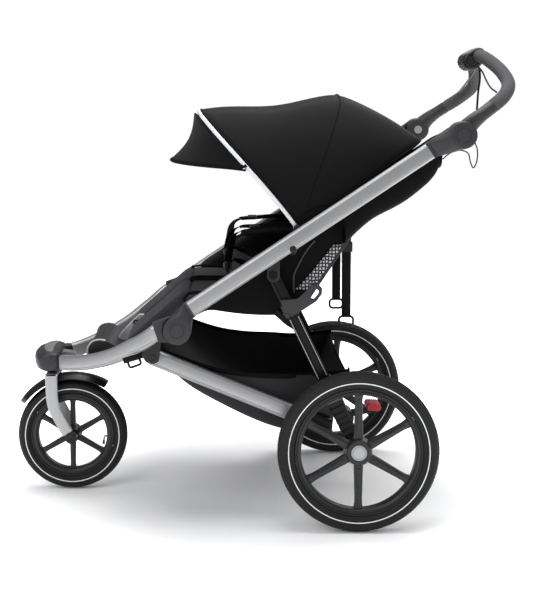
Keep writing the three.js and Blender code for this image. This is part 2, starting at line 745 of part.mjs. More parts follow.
// ---------- lower tubes ----------
const linkInner = legInner - 13;
const legAngle = Math.atan2(legTopZ - rearWheelRadius, legTopX - rearAxleX);
const alongLeg = (s) => [rearAxleX + s * Math.cos(legAngle), rearWheelRadius + s * Math.sin(legAngle)];
const [linkX, linkZ] = alongLeg(linkEyeHeight);

for (const [name, side] of Object.entries(leftAndRight)) {
  const y = side * lowerTubeY;
  const start = vector(lowerPivotX, y, lowerPivotZ);
  const end = vector(lowerTubeEndX, y, lowerTubeEndZ);
  const tube = frameTube([start, start.clone().lerp(end, 0.5), end], 1);
  const nose = sidePin(lowerPivotX, lowerPivotZ, halfTube, side, legInner, legOuter, 20);
  const eye = sidePin(lowerPivotX, lowerPivotZ, pivotPinRadius + gap, side, legInner - 1, legOuter + 1, 16);
  const heelX = lowerTubeEndX - 14;
  const heelZ = lowerTubeEndZ + 8;
  const link = sidePlate(linkOutline(heelX, heelZ, 20, linkX, linkZ, pivotEyeRadius), side, linkInner,
    legInner - 0.5);
  const heel = sidePin(heelX, heelZ, 16, side, linkInner, legInner + 4, 16);
  add(`lower_tube_${name}`, join(cut(join(tube, nose), eye), link, heel), aluminium);

  const outline = [
    [lowerPivotX - 26, lowerPivotZ + 16], [lowerPivotX - 26, lowerPivotZ + 6], [lowerPivotX - 14,
      lowerPivotZ - 9],
    [lowerPivotX + 12, lowerPivotZ - 10], [lowerPivotX + 18, lowerPivotZ], [lowerPivotX + 16,
      lowerPivotZ + 43],
  ];
  const cheek = sidePlate(outline, side, legOuter + gap, legOuter + 18);
  const pivotPin = sidePin(lowerPivotX, lowerPivotZ, pivotPinRadius, side, legInner, legOuter + 5, 16);
  add(`pivot_bracket_${name}`, join(cheek, pivotPin), blackPlastic);
}

// ---------- rear legs ----------
// A plate square to the leg's line, from s = low to s = high above the axle.
function legBlock(side, low, high, width, near, far) {
  const [x1, z1] = alongLeg(low);
  const [x2, z2] = alongLeg(high);
  const nx = -Math.sin(legAngle) * (width / 2);
  const nz = Math.cos(legAngle) * (width / 2);
  return sidePlate([[x1 + nx, z1 + nz], [x2 + nx, z2 + nz], [x2 - nx, z2 - nz], [x1 - nx, z1 - nz]], side,
    near, far);
}

const legLength = Math.hypot(legTopX - rearAxleX, legTopZ - rearWheelRadius);
const blockTop = carrierHeight + gap + blockLength;
const blockNear = lowerTubeY - blockThickness / 2;
const blockFar = lowerTubeY + blockThickness / 2;
for (const [name, side] of Object.entries(leftAndRight)) {
  const shoe = legBlock(side, blockTop + gap, blockTop + shoeLength, shoeWidth, legInner,
    legInner + shoeThickness - 6);
  const rail = legBlock(side, blockTop + 10, legLength, legWidth, legInner, legOuter);
  const head = sidePin(legTopX, legTopZ, legWidth / 2, side, legInner, legOuter, 20);
  const eye = sidePin(legTopX, legTopZ, pivotPinRadius + gap, side, legInner - 1, legOuter + 1, 16);
  const linkEye = sidePin(linkX, linkZ, 3, side, legInner - 1, legInner + 3, 12);
  add(`rear_leg_${name}`, cut(join(shoe, rail, head), eye, linkEye), blackSteel);

  let block = legBlock(side, carrierHeight + gap, blockTop, blockWidth - 8, blockNear + 4, blockFar - 4);
  const pitch = blockLength / (2 * blockRibs + 1);
  for (let k = 0; k <= blockRibs; k++) {
    const low = carrierHeight + gap + 2 * k * pitch;
    block = block.add(legBlock(side, low, low + pitch, blockWidth, blockNear, blockFar));
  }
  add(`suspension_block_${name}`, block, blackPlastic);

  // bracket on the inner face of the side tube, with the leg's pivot pin
  const tubeZ = upperTubeLowZ + (legTopX - upperTubeLowX) * Math.tan(upperSlope);
  const mountOutline = linkOutline(legTopX, legTopZ, pivotEyeRadius, legTopX + 2, tubeZ - 11,
    pivotEyeRadius - 1);
  const mount = sidePlate(mountOutline, side, legOuter + gap, tubeInner - gap);
  const mountPin = sidePin(legTopX, legTopZ, pivotPinRadius, side, legInner, legOuter + 4, 16);
  add(`leg_mount_${name}`, join(mount, mountPin), blackPlastic);
}

// ---------- rear axle with its hub carriers ----------
const hubFace = rearTrack / 2 - rearHubWidth / 2;
const axleEnd = rearTrack / 2 + rearHubWidth / 2 - capPocketDepth - gap;
function carrier(side) {
  const round = sidePin(rearAxleX, rearWheelRadius, carrierRadius, side, blockNear, hubFace - 6, 24);
  return round.add(legBlock(side, 0, carrierHeight, blockWidth, blockNear, blockFar));
}
const beam = pin(rearAxleX, rearWheelRadius, rearBeamRadius, -blockNear - 2, blockNear + 2, 20);
const spindle = pin(rearAxleX, rearWheelRadius, axleRadius, -axleEnd, axleEnd, 16);
const shoulders = [-1, 1].map((side) => sidePin(rearAxleX, rearWheelRadius, 13, side, hubFace - 7,
  hubFace - gap, 16));
add('rear_axle', join(beam, spindle, carrier(-1), carrier(1), ...shoulders), blackSteel);

const pedalRing = cut(
  pin(rearAxleX, rearWheelRadius, rearBeamRadius + 9, -pedalWidth / 2, pedalWidth / 2),
  pin(rearAxleX, rearWheelRadius, rearBeamRadius + gap, -pedalWidth, pedalWidth),
);
const pedalArm = plate(linkOutline(rearAxleX + 24, rearWheelRadius + 8, 7, rearAxleX + pedalReach - 22,
  rearWheelRadius + pedalRise, 6), -12, 12);
const pedalPad = plate(padOutline(rearAxleX + pedalReach - 32, rearWheelRadius + pedalRise + 14,
  rearAxleX + pedalReach, rearWheelRadius + pedalRise + 12, 20, 7), -pedalWidth / 2, pedalWidth / 2);
add('brake_pedal', join(pedalRing, pedalArm, pedalPad), redPlastic);

// ---------- seats ----------
const legTurn = radians(legRestAngle);
const legRestTop = [seatFrontX - 10, seatFrontTop - 2];
const legRestFoot = [legRestTop[0] - legRestLength * Math.cos(legTurn),
  legRestTop[1] - legRestLength * Math.sin(legTurn)];
const legRestOutline = (thickness) => padOutline(...legRestFoot, ...legRestTop, thickness, 14);
const seatNear = seatGap / 2;
const seatFar = seatGap / 2 + seatWidth;
const rise = radians(reclineAngle);
const backDirection = [Math.cos(rise), Math.sin(rise)];
for (const [name, side] of Object.entries(leftAndRight)) {
  const bottom = sidePlate(padOutline(seatFrontX, seatFrontTop, seatRearX - 34, seatRearTop, seatThickness,
    20), side, seatNear, seatFar);
  const front = sidePlate(legRestOutline(legRestThickness + 2), side, seatNear - 1, seatFar + 1);
  add(`seat_bottom_${name}`, cut(bottom, front), seatFabric);

  const footX = reclineX + 4;
  const footZ = reclineZ + 10;
  const topX = footX + backLength * backDirection[0];
  const topZ = footZ + backLength * backDirection[1];
  const back = sidePlate(padOutline(topX, topZ, footX, footZ, backThickness, 16), side, seatNear, seatFar);
  add(`seat_back_${name}`, back, seatFabric);
}

// Height of the side tubes' middle line at x.
const tubeZAt = (x) => upperTubeLowZ + (x - upperTubeLowX) * Math.tan(upperSlope);

// A hammock of fabric hung between the side tubes: at each [x, low, rise] its floor is at low, and its walls
// stand rise above the tubes' middle line.
function hammock(stations, section) {
  return stations.map((station) => {
    const side = section(...station);
    const left = side.map(([y, z]) => vector(station[0], -y, z));
    return [...left, ...side.map(([y, z]) => vector(station[0], y, z)).reverse()];
  });
}

const behindSeat = (x) => reclineZ + 10 + (x - reclineX - 11.2) * Math.tan(rise);
const slingLow = (x) => Math.max(slingBottomZ + slingEndRise * Math.pow((x - 20) / 140, 2), behindSeat(x));

// Under the seats the fabric passes inside the rear legs and is held along the tubes' inner faces.
function slingSection(x, low) {
  const z = tubeZAt(x);
  return [
    [tubeInner - gap - slingThickness / 2, z + 9], [slingHalfWidth + 14, z + 9], [slingHalfWidth, z],
    [slingHalfWidth, Math.max(low + 12, z - 30)], [slingHalfWidth - 2, Math.min(low + 14, z - 34)],
    [slingHalfWidth - 16, Math.min(low, z - 40)], [slingHalfWidth * 0.5, Math.min(low, z - 42)],
  ];
}
const slingStations = [-156, -110, -60, -10, 40, 70, 96, 120, 150, 180, 208.8];
add('seat_sling', sheet(hammock(slingStations.map((x) => [x, slingLow(x)]), slingSection), slingThickness),
  blackFabric);

// Behind the seats' upper backs the fabric has walls that stand above the tubes, and a rounded rear edge.
function panelSection(x, low, rise) {
  const z = tubeZAt(x);
  return [
    [hammockHalfWidth - 22, z + rise], [hammockHalfWidth - 15, Math.max(z + 6, low + 42)], [hammockHalfWidth,
      Math.max(z - 14, low + 34)],
    [hammockHalfWidth, low + 22], [hammockHalfWidth - 14, low + 3], [hammockHalfWidth * 0.6, low - 2],
  ];
}
const panelStations = [
  [211, 704, 42], [234, 728, 40], [262, 756, 36], [288, 774, 28], [327, 792, 22], [364, 813, 26], [399, 842,
    24],
  [420, 860, 26], [434, 878, 22], [443, 900, 20],
];
const barHole = pin(seatCrossbarX - 12, crossbarZ - 8, seatCrossbarRadius + runningGap, -sideY, sideY, 16);
add('back_panel', cut(sheet(hammock(panelStations, panelSection), slingThickness), barHole), blackFabric);

// ---------- leg rests and footrest ----------
for (const [name, side] of Object.entries(leftAndRight)) {
  add(`leg_rest_${name}`, sidePlate(legRestOutline(legRestThickness), side, seatNear, legRestFar),
    seatFabric);
}

const footrestOutline = [
  [-446, 392], [-445, 412], [-436, 425], [-418, 431], [-398, 429], [-380, 419], [-364, 411], [-350,
    413], [-338, 424],
  [-332, 420], [-338, 400], [-356, 390],
];
const footrestTray = plate(footrestOutline, -footrestHalfWidth, footrestHalfWidth);
const footrestBar = pin(footrestBarX, footrestBarZ, footrestBarRadius, -footrestBarReach, footrestBarReach,
  12);
add('footrest', join(footrestTray, cut(footrestBar, ...footrestBarRoom)), darkPlastic);

// ---------- recline straps ----------
for (const [name, side] of Object.entries(leftAndRight)) {
  const y = side * (seatNear + seatWidth / 2);
  const half = strapWidth / 2;
  const profile = [
    [strapX + half, strapTopZ + strapTopRise], [strapX + half, strapEndZ], [strapX - half, strapEndZ],
    [strapX - half, strapTopZ - strapTopRise],
  ];
  const strap = plate(profile, y - strapThickness / 2, y + strapThickness / 2);
  const ringZ = strapEndZ - ringHeight / 2 + 1;
  const ring = cut(
    box(strapX, y, ringZ, ringWidth, ringBar, ringHeight),
    box(strapX, y, ringZ, ringWidth - 2 * ringBar, ringBar * 3, ringHeight - 2 * ringBar),
  );
  add(`recline_strap_${name}`, join(strap, ring), blackFabric);
}

// ---------- harnesses ----------
for (const [name, side] of Object.entries(leftAndRight)) {
  const y = side * (seatNear + seatWidth / 2);
  const strapPath = (offset) => roundBar([
    vector(128, y + offset, 716), vector(60, y + offset * 0.95, 726), vector(-12, y + offset * 0.8, 720),
    vector(-58, y + offset * 0.5, 705), vector(-78, y + offset * 0.2, 668), vector(-82, y, 632),
  ], 7, 10, 6);
  const crotch = roundBar([vector(-82, y, 642), vector(-79, y, 612), vector(-77, y, seatFrontTop - 1.6)], 8,
    3, 6);
  const waist = (offset) => roundBar([
    vector(-80, y, 637), vector(-44, y + offset, 624), vector(10, y + offset * 1.5, 602), vector(34,
      y + offset * 1.6, 596),
  ], 6, 6, 6);
  const buckle = box(-82, y, 636, 16, 46, 46);
  const harness = join(strapPath(-52), strapPath(52), crotch, waist(-62), waist(62), buckle);
  add(`harness_${name}`, harness, blackFabric);
}

// ---------- canopy ----------
// Reach of the canopy's outer surface from the pivot line at an angle above the horizontal, in degrees.
function canopyReach(angle) {
  if (angle >= canopyRidgeAngle) {
    const t = (angle - canopyRidgeAngle) / (canopyFrontAngle - canopyRidgeAngle);
    return THREE.MathUtils.lerp(canopyRidgeReach, canopyFrontReach,
      t) - canopyFrontDip * Math.sin(Math.PI * t);
  }
  const t = (canopyRidgeAngle - angle) / (canopyRidgeAngle - canopyRearAngle);
  return THREE.MathUtils.lerp(canopyRidgeReach, canopyRearReach, t) - canopyRearDip * Math.sin(Math.PI * t);
}

// One bow as an upside-down U: legs at the half width, rounded corners, a slightly crowned top.
function bowPoints(angle, inset, count, start = 0, behind = 0) {
  const reach = canopyReach(angle) - inset;
  const half = canopyHalfWidth - inset;
  const tall = Math.min(canopyCornerHeight, reach * 0.8);
  const wide = canopyCornerWidth;
  const turn = radians(angle);
  const lean = radians(canopyFrontLean) * Math.max(0,
    (angle - canopyRidgeAngle) / (canopyFrontAngle - canopyRidgeAngle));
  const outline = [];
  outline.push([half, reach * start], [half, (reach - tall) * 0.6]);
  for (let k = 0; k <= count; k++) {
    const a = (k / count) * (Math.PI / 2);
    outline.push([half - wide + wide * Math.cos(a), reach - 12 - tall + tall * Math.sin(a)]);
  }
  const crown = half - wide;
  outline.push([crown * 0.5, reach - 3], [0, reach]);
  const place = ([y, r], side) => {
    const a = turn - lean * Math.pow(1 - r / reach, 2) - behind / Math.max(r, 40);
    return vector(canopyPivotX + r * Math.cos(a), side * y, canopyPivotZ + r * Math.sin(a));
  };
  return [...outline.map((p) => place(p, -1)), ...outline.slice(0, -1).map((p) => place(p, 1)).reverse()];
}

// The fabric's rows, from the front bow over the middle one to its rear edge.
const canopyFrontSteps = 6;
const canopyRearSteps = 3;
const canopyAngles = [];
for (let i = 0; i < canopyFrontSteps; i++) {
  canopyAngles.push(THREE.MathUtils.lerp(canopyFrontAngle, canopyRidgeAngle, i / canopyFrontSteps));
}
for (let i = 0; i <= canopyRearSteps; i++) {
  canopyAngles.push(THREE.MathUtils.lerp(canopyRidgeAngle, canopyRearAngle, i / canopyRearSteps));
}
const canopyRows = canopyAngles.map((angle) => {
  const behind = (canopyEdge * (angle - canopyRearAngle)) / (canopyFrontAngle - canopyRearAngle);
  return bowPoints(angle, 0, 5, 0.1, behind);
});
add('canopy', sheet(canopyRows, canopyThickness), blackFabric);

// A bow with an eye round each end's pivot pin; the eye's sides are given from the canopy's half width.
function bow(angle, inset, eye) {
  const [near, far] = eye.map((offset) => canopyHalfWidth + offset);
  const bar = roundBar(bowPoints(angle, inset, 5), bowRadius, 26, 6);
  const eyes = [-1, 1].map((side) => sidePin(canopyPivotX, canopyPivotZ, bowRadius + 3, side, near, far, 16));
  const holes = [-1, 1].map((side) => sidePin(canopyPivotX, canopyPivotZ, canopyPinRadius + gap, side,
    near - 6, far + 6, 12));
  return cut(join(bar, ...eyes), ...holes);
}
add('canopy_bow', bow(canopyFrontAngle, -1, frontBowEye), trimFabric);
add('canopy_mid_bow', bow(canopyRidgeAngle, 10, middleBowEye), steel);

// visor: from just ahead of the front bow to its own wire
const visorAnchorX = -32;
const visorAnchorZ = 893;

// A point of the visor: u runs across it from -1 to 1, and v from the front bow to the wire, stopping short of
// the wire by the given distance.
function visorPoint(u, v, short) {
  const front = radians(canopyFrontAngle);
  const top = [canopyPivotX + canopyFrontReach * Math.cos(front),
    canopyPivotZ + canopyFrontReach * Math.sin(front)];
  const edge = Math.abs(u);
  const fall = Math.pow(edge, 3.2);
  const root = vector(THREE.MathUtils.lerp(top[0], visorAnchorX, fall) - 12, u * (canopyHalfWidth - 2),
    THREE.MathUtils.lerp(top[1] - 4, visorAnchorZ + 6, fall));
  const tip = vector(visorAnchorX - 16 - visorReach * (1 - Math.pow(edge, 2.6)), root.y,
    visorAnchorZ + visorTipRise * (1 - Math.pow(edge, 1.5)));
  const t = v * (1 - short / root.distanceTo(tip));
  const sag = visorSag * Math.sin(Math.PI * t) * (1 - fall);
  return root.lerp(tip, t).add(vector(sag, 0, -0.4 * sag));
}
const visorColumns = 8;
const visorPivotX = -38.0; // where the wire's ends meet the front bow
const visorPivotZ = 890.4;
const visorEyeRadius = 3.4;
const visorShort = 3.5; // from the middle of the wire to the fabric's edge
const visorSpan = 1.09; // widens the fabric's columns towards the wire's ends
const visorColumnsFrom = (first) =>
  Array.from({ length: 2 * (visorColumns - first) + 1 }, (_, k) => (k - visorColumns + first) / visorColumns);
const visorRows = [0,
  0.2, 0.4, 0.6, 0.8, 1].map((v) => visorColumnsFrom(1).map((u) => visorPoint(u * visorSpan, v, visorShort)));
add('visor', sheet(visorRows, canopyThickness), blackFabric);
const wireEnd = (side) => vector(visorPivotX, side * (canopyHalfWidth - 5), visorPivotZ);
const wireEye = (side) => sidePin(visorPivotX, visorPivotZ, visorEyeRadius, side, canopyHalfWidth - 10,
  canopyHalfWidth - 1, 12);
const wireRoute = [wireEnd(-1), ...visorColumnsFrom(0).map((u) => visorPoint(u, 1, 0)), wireEnd(1)];
add('visor_wire', join(roundBar(wireRoute, 3, 30, 6), wireEye(-1), wireEye(1)), blackSteel);

// ---------- basket ----------
// An open tub: floor and walls in one sheet, its floor parallel to the lower tubes.
function basketGrid() {
  const rows = [];
  const stations = [
    [-254, 449, 424], [-236, 424, 388], [-200, 397, 352], [-160, 390, 322], [-100, 382, 290], [-25, 375, 252],
    [52, 372, 222], [110, 371, 214], [160, 374, 234], [204, 379, 310], [226, 382, 364],
  ];
  for (const [x, top, floor] of stations) {
    const half = x < basketNarrowX ? basketWidest : basketHalfWidth;
    const side = [
      [half, top], [half, (top * 2 + floor) / 3], [half - 8, floor + 24], [half - 26,
        floor + 4], [half * 0.55, floor - 4],
    ];
    const left = side.map(([y, z]) => vector(x, -y, z));
    rows.push([...left, ...side.map(([y, z]) => vector(x, y, z)).reverse()]);
  }
  return rows;
}
add('basket', sheet(basketGrid(), basketThickness), blackFabric);

export default stroller;
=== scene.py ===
"""Visual model of a two-seat, three-wheel folding stroller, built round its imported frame."""
import logging
import math
from dataclasses import dataclass
from enum import Enum
from functools import cache
from typing import Callable, ClassVar, Optional, Sequence

import bmesh
import bpy
from mathutils import Matrix, Vector

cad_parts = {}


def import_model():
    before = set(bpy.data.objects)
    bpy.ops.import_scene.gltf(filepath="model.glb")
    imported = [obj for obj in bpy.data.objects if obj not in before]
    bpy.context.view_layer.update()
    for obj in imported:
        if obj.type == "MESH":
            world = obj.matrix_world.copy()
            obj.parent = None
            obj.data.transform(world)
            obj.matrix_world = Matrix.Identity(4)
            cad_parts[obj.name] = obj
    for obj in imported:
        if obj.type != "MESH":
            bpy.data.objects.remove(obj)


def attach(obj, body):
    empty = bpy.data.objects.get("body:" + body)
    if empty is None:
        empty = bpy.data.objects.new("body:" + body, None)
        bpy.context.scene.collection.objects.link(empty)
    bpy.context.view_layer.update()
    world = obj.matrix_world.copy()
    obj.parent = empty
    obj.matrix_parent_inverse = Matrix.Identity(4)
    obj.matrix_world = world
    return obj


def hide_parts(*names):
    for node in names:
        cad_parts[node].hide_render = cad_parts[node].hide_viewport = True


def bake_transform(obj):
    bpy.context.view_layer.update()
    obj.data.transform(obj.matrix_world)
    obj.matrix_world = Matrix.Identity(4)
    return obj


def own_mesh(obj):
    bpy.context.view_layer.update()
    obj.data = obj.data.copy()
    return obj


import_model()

LOG = logging.getLogger("stroller")
MM = 0.001
UP = Vector((0.0, 0.0, 1.0))
CROSS = Vector((0.0, 1.0, 0.0))
BACKWARD = Vector((-1.0, 0.0, 0.0))
SIDES = {"left": -1, "right": 1}
Pair = tuple[float, float]
Triple = tuple[float, float, float]
Outline = Sequence[Pair]
Names = tuple[str, str]
Piece = bpy.types.Object
Tree = bpy.types.NodeTree
Node = bpy.types.Node
Outputs = bpy.types.NodeOutputs
Socket = bpy.types.NodeSocket
# angles between faces, in degrees, above which an edge stays sharp or is rounded
HARD = 30.0
SMOOTH = 38.0
PLATE_EDGE = 32.0
BEVEL_EDGE = 34.0
# points closer than this, in metres, are one
WELD = 2e-6
FULL_TURN = 2 * math.pi
WHITE = (1.0, 1.0, 1.0, 1.0)


# ---------- small geometry tools; all lengths here are millimetres ----------
def lerp(a: float, b: float, t: float) -> float:
    """The value that is a share t of the way from a to b."""
    return a + (b - a) * t


def point(x: float, y: float, z: float) -> Vector:
    """A point of the frame, in millimetres."""
    return Vector((x, y, z))


def vectors(*places: Triple) -> list[Vector]:
    """Points of the frame, in millimetres."""
    return [point(*place) for place in places]


def on_side(places: Sequence[Triple], side: int) -> list[Vector]:
    """Points given for the right side, put on the side asked for."""
    return [point(x, side * y, z) for x, y, z in places]


def row_across(x: float, half: Outline) -> list[Vector]:
    """A row of points at x, from half of it, as pairs of y and z from its end to the middle."""
    return [point(x, -y, z) for y, z in half] + [point(x, y, z) for y, z in half[::-1]]


def curve_through(points: Sequence[Vector], steps: int = 8, closed: bool = False) -> list[Vector]:
    """Points on a smooth centripetal curve through the given ones.

    Args:
        points: The points that it passes through.
        steps: Pieces between one given point and the next.
        closed: Whether it returns to its start.

    Returns:
        The curve's points in order, the last one included when it is open.
    """
    count = len(points)
    spans = count if closed else count - 1
    found: list[Vector] = []
    for i in range(spans):
        if closed:
            p0, p1, p2, p3 = (points[(i + k) % count] for k in (-1, 0, 1, 2))
        else:
            p1, p2 = points[i], points[i + 1]
            p0 = points[i - 1] if i > 0 else p1 * 2 - p2
            p3 = points[i + 2] if i + 2 < count else p2 * 2 - p1
        knots = [0.0]
        for a, b in ((p0, p1), (p1, p2), (p2, p3)):
            knots.append(knots[-1] + max(1e-6, math.sqrt((b - a).length)))
        k0, k1, k2, k3 = knots
        for j in range(steps):
            t = lerp(k1, k2, j / steps)
            a1 = p0 * ((k1 - t) / (k1 - k0)) + p1 * ((t - k0) / (k1 - k0))
            a2 = p1 * ((k2 - t) / (k2 - k1)) + p2 * ((t - k1) / (k2 - k1))
            a3 = p2 * ((k3 - t) / (k3 - k2)) + p3 * ((t - k2) / (k3 - k2))
            b1 = a1 * ((k2 - t) / (k2 - k0)) + a2 * ((t - k0) / (k2 - k0))
            b2 = a2 * ((k3 - t) / (k3 - k1)) + a3 * ((t - k1) / (k3 - k1))
            found.append(b1 * ((k2 - t) / (k2 - k1)) + b2 * ((t - k1) / (k2 - k1)))
    if not closed:
        found.append(points[-1].copy())
    return found


def rounded_section(width: float, height: float, radius: float, steps: int = 3) -> list[Pair]:
    """Outline of a rounded oblong, centred on the path that it is swept along."""
    found = []
    for cx, cy, start in ((1, 1, 0), (-1, 1, 90), (-1, -1, 180), (1, -1, 270)):
        for k in range(steps + 1):
            angle = math.radians(start + 90 * k / steps)
            found.append((cx * (width / 2 - radius) + radius * math.cos(angle),
                          cy * (height / 2 - radius) + radius * math.sin(angle)))
    return found


def round_section(radius: float, sides: int = 16) -> list[Pair]:
    """Outline of a round bar or cord."""
    return [(radius * math.cos(FULL_TURN * k / sides), radius * math.sin(FULL_TURN * k / sides))
            for k in range(sides)]


def arc(cx: float, cz: float, radius: float, start: float, end: float, steps: int = 16) -> list[Pair]:
    """Points of an arc in the XZ plane, between two angles in degrees."""
    return [(cx + radius * math.cos(math.radians(lerp(start, end, k / steps))),
             cz + radius * math.sin(math.radians(lerp(start, end, k / steps)))) for k in range(steps + 1)]


def hull(points: Outline) -> list[Pair]:
    """The convex outline round some points."""
    ordered = sorted(set(points))

    def half(run: Outline) -> list[Pair]:
        """One side of the outline."""
        found: list[Pair] = []
        for p in run:
            while len(found) > 1:
                (ax, az), (bx, bz) = found[-2], found[-1]
                if (bx - ax) * (p[1] - az) - (bz - az) * (p[0] - ax) > 0:
                    break
                found.pop()
            found.append(p)
        return found[:-1]

    return half(ordered) + half(ordered[::-1])


def links(*circles: Triple) -> list[Pair]:
    """The outline round some circles, each (x, z, radius), as a link plate has."""
    return hull([p for x, z, r in circles for p in arc(x, z, r, 0, 360, 40)])


# ---------- shader nodes ----------
def wire(tree: Tree, node: Node, values: dict[object, object]) -> Node:
    """Sets a node's inputs to values, or joins them to sockets.

    Args:
        tree: The tree that the node is in.
        node: The node.
        values: A value or a socket for each input, by its name or number.

    Returns:
        The same node.
    """
    for key, value in values.items():
        if isinstance(value, Socket):
            tree.links.new(value, node.inputs[key])
        else:
            node.inputs[key].default_value = value
    return node


def add_node(tree: Tree, kind: str, values: Optional[dict[object, object]] = None,
             **settings: object) -> Node:
    """A new shader node.

    Args:
        tree: The tree to add it to.
        kind: The end of its type's name.
        values: A value or a socket for each input, by its name or number.
        settings: Its own settings.

    Returns:
        The node.
    """
    node = tree.nodes.new(f"ShaderNode{kind}")
    for key, value in settings.items():
        setattr(node, key, value)
    return wire(tree, node, values or {})


def object_place(tree: Tree) -> Socket:
    """The place of a point in its object."""
    return add_node(tree, "TexCoord").outputs["Object"]


def mixed_color(tree: Tree, share: Socket, low: object,
                high: object) -> Socket:
    """A mix of two colours, each a value with its alpha or a socket."""
    return add_node(tree, "Mix", {0: share, 6: low, 7: high}, data_type="RGBA").outputs[2]


class Groups:
    """The effects that several finishes share, each built once."""

    @staticmethod
    def new(name: str, inputs: dict[str, float],
            outputs: Sequence[str]) -> tuple[Tree, Outputs, Node]:
        """A group with float inputs and outputs.

        Args:
            name: The group's name.
            inputs: Its inputs with their usual values.
            outputs: Its outputs' names.

        Returns:
            The group, the sockets that give its inputs, and the node that takes its outputs.
        """
        tree = bpy.data.node_groups.new(name, "ShaderNodeTree")
        for label, value in inputs.items():
            socket = tree.interface.new_socket(label, in_out="INPUT", socket_type="NodeSocketFloat")
            socket.default_value = value
        for label in outputs:
            tree.interface.new_socket(label, in_out="OUTPUT", socket_type="NodeSocketFloat")
        return tree, tree.nodes.new("NodeGroupInput").outputs, tree.nodes.new("NodeGroupOutput")

    @staticmethod
    def math(tree: Tree, kind: str, *values: object) -> Socket:
        """The result of a math node on numbers or sockets."""
        return add_node(tree, "Math", dict(enumerate(values)), operation=kind).outputs[0]

    @staticmethod
    def noise(tree: Tree, scale: object, detail: float,
              stretch: Triple = (1, 1, 1)) -> Socket:
        """A noise over the object, whose coordinates are first multiplied by stretch."""
        mapping = add_node(tree, "Mapping", {"Scale": stretch, "Vector": object_place(tree)})
        return add_node(tree, "TexNoise", {"Detail": detail, "Scale": scale,
                                           "Vector": mapping.outputs["Vector"]}).outputs["Fac"]

    @classmethod
    def toned(cls, name: str, scale: float, drift: float, details: Pair,
              stretch: Triple = (1, 1, 1)) -> Tree:
        """A fine relief, with a slow change of tone over the surface.

        Args:
            name: The group's name.
            scale: The relief's usual scale.
            drift: Scale of the change of tone.
            details: Noise detail of the relief and of the tone.
            stretch: What the relief's coordinates are multiplied by.

        Returns:
            The group.
        """
        tree, given, target = cls.new(name, {"Scale": scale, "Drift": drift}, ("Height", "Tone"))
        wire(tree, target, {"Height": cls.noise(tree, given["Scale"], details[0], stretch),
                            "Tone": cls.noise(tree, given["Drift"], details[1])})
        return tree

    @classmethod
    @cache
    def grain(cls) -> Tree:
        """Fine moulded or cast grain."""
        return cls.toned("grain", 900.0, 9.0, (2, 3))

    @classmethod
    @cache
    def brushed(cls) -> Tree:
        """Fine lines drawn out along the stroller's length."""
        return cls.toned("brushed", 260.0, 7.0, (4, 2), (0.06, 1, 1))

    @classmethod
    @cache
    def weave(cls) -> Tree:
        """Crossing threads at an even pitch in every direction, with slubs and slow wrinkles."""
        tree, given, target = cls.new("weave", {"Pitch": 1.6, "Wrinkle": 14.0}, ("Height", "Tone", "Folds"))
        split = add_node(tree, "SeparateXYZ", {0: object_place(tree)})
        rate = cls.math(tree, "DIVIDE", 1000 * FULL_TURN, given["Pitch"])
        turns = [cls.math(tree, "MULTIPLY", split.outputs[k], rate) for k in range(3)]
        waves = [cls.math(tree, "MULTIPLY", cls.math(tree, "SINE", turns[k]),
                          cls.math(tree, "COSINE", turns[(k + 1) % 3])) for k in range(3)]
        total = cls.math(tree, "ADD", cls.math(tree, "ADD", waves[0], waves[1]), waves[2])
        wire(tree, target, {"Height": cls.math(tree, "MULTIPLY_ADD", total, 0.33, 0.5),
                            "Tone": cls.noise(tree, 420.0, 3),
                            "Folds": cls.noise(tree, given["Wrinkle"], 3)})
        return tree

    @classmethod
    @cache
    def wear(cls) -> Tree:
        """A mask on edges that stand out, broken up by noise."""
        tree, given, target = cls.new("wear", {"Start": 0.56, "Reach": 0.12}, ("Mask",))
        edge = add_node(tree, "NewGeometry").outputs["Pointiness"]
        rise = cls.math(tree, "DIVIDE", cls.math(tree, "SUBTRACT", edge, given["Start"]), given["Reach"])
        patchy = cls.math(tree, "MULTIPLY", rise, cls.noise(tree, 160.0, 4))
        wire(tree, target, {"Mask": add_node(tree, "Clamp", {0: patchy}).outputs[0]})
        return tree


# ---------- finishes ----------
class Surface(Enum):
    """How a finish is patterned."""

    GRAIN = "grain"
    BRUSHED = "brushed"
    WEAVE = "weave"
    NET = "net"


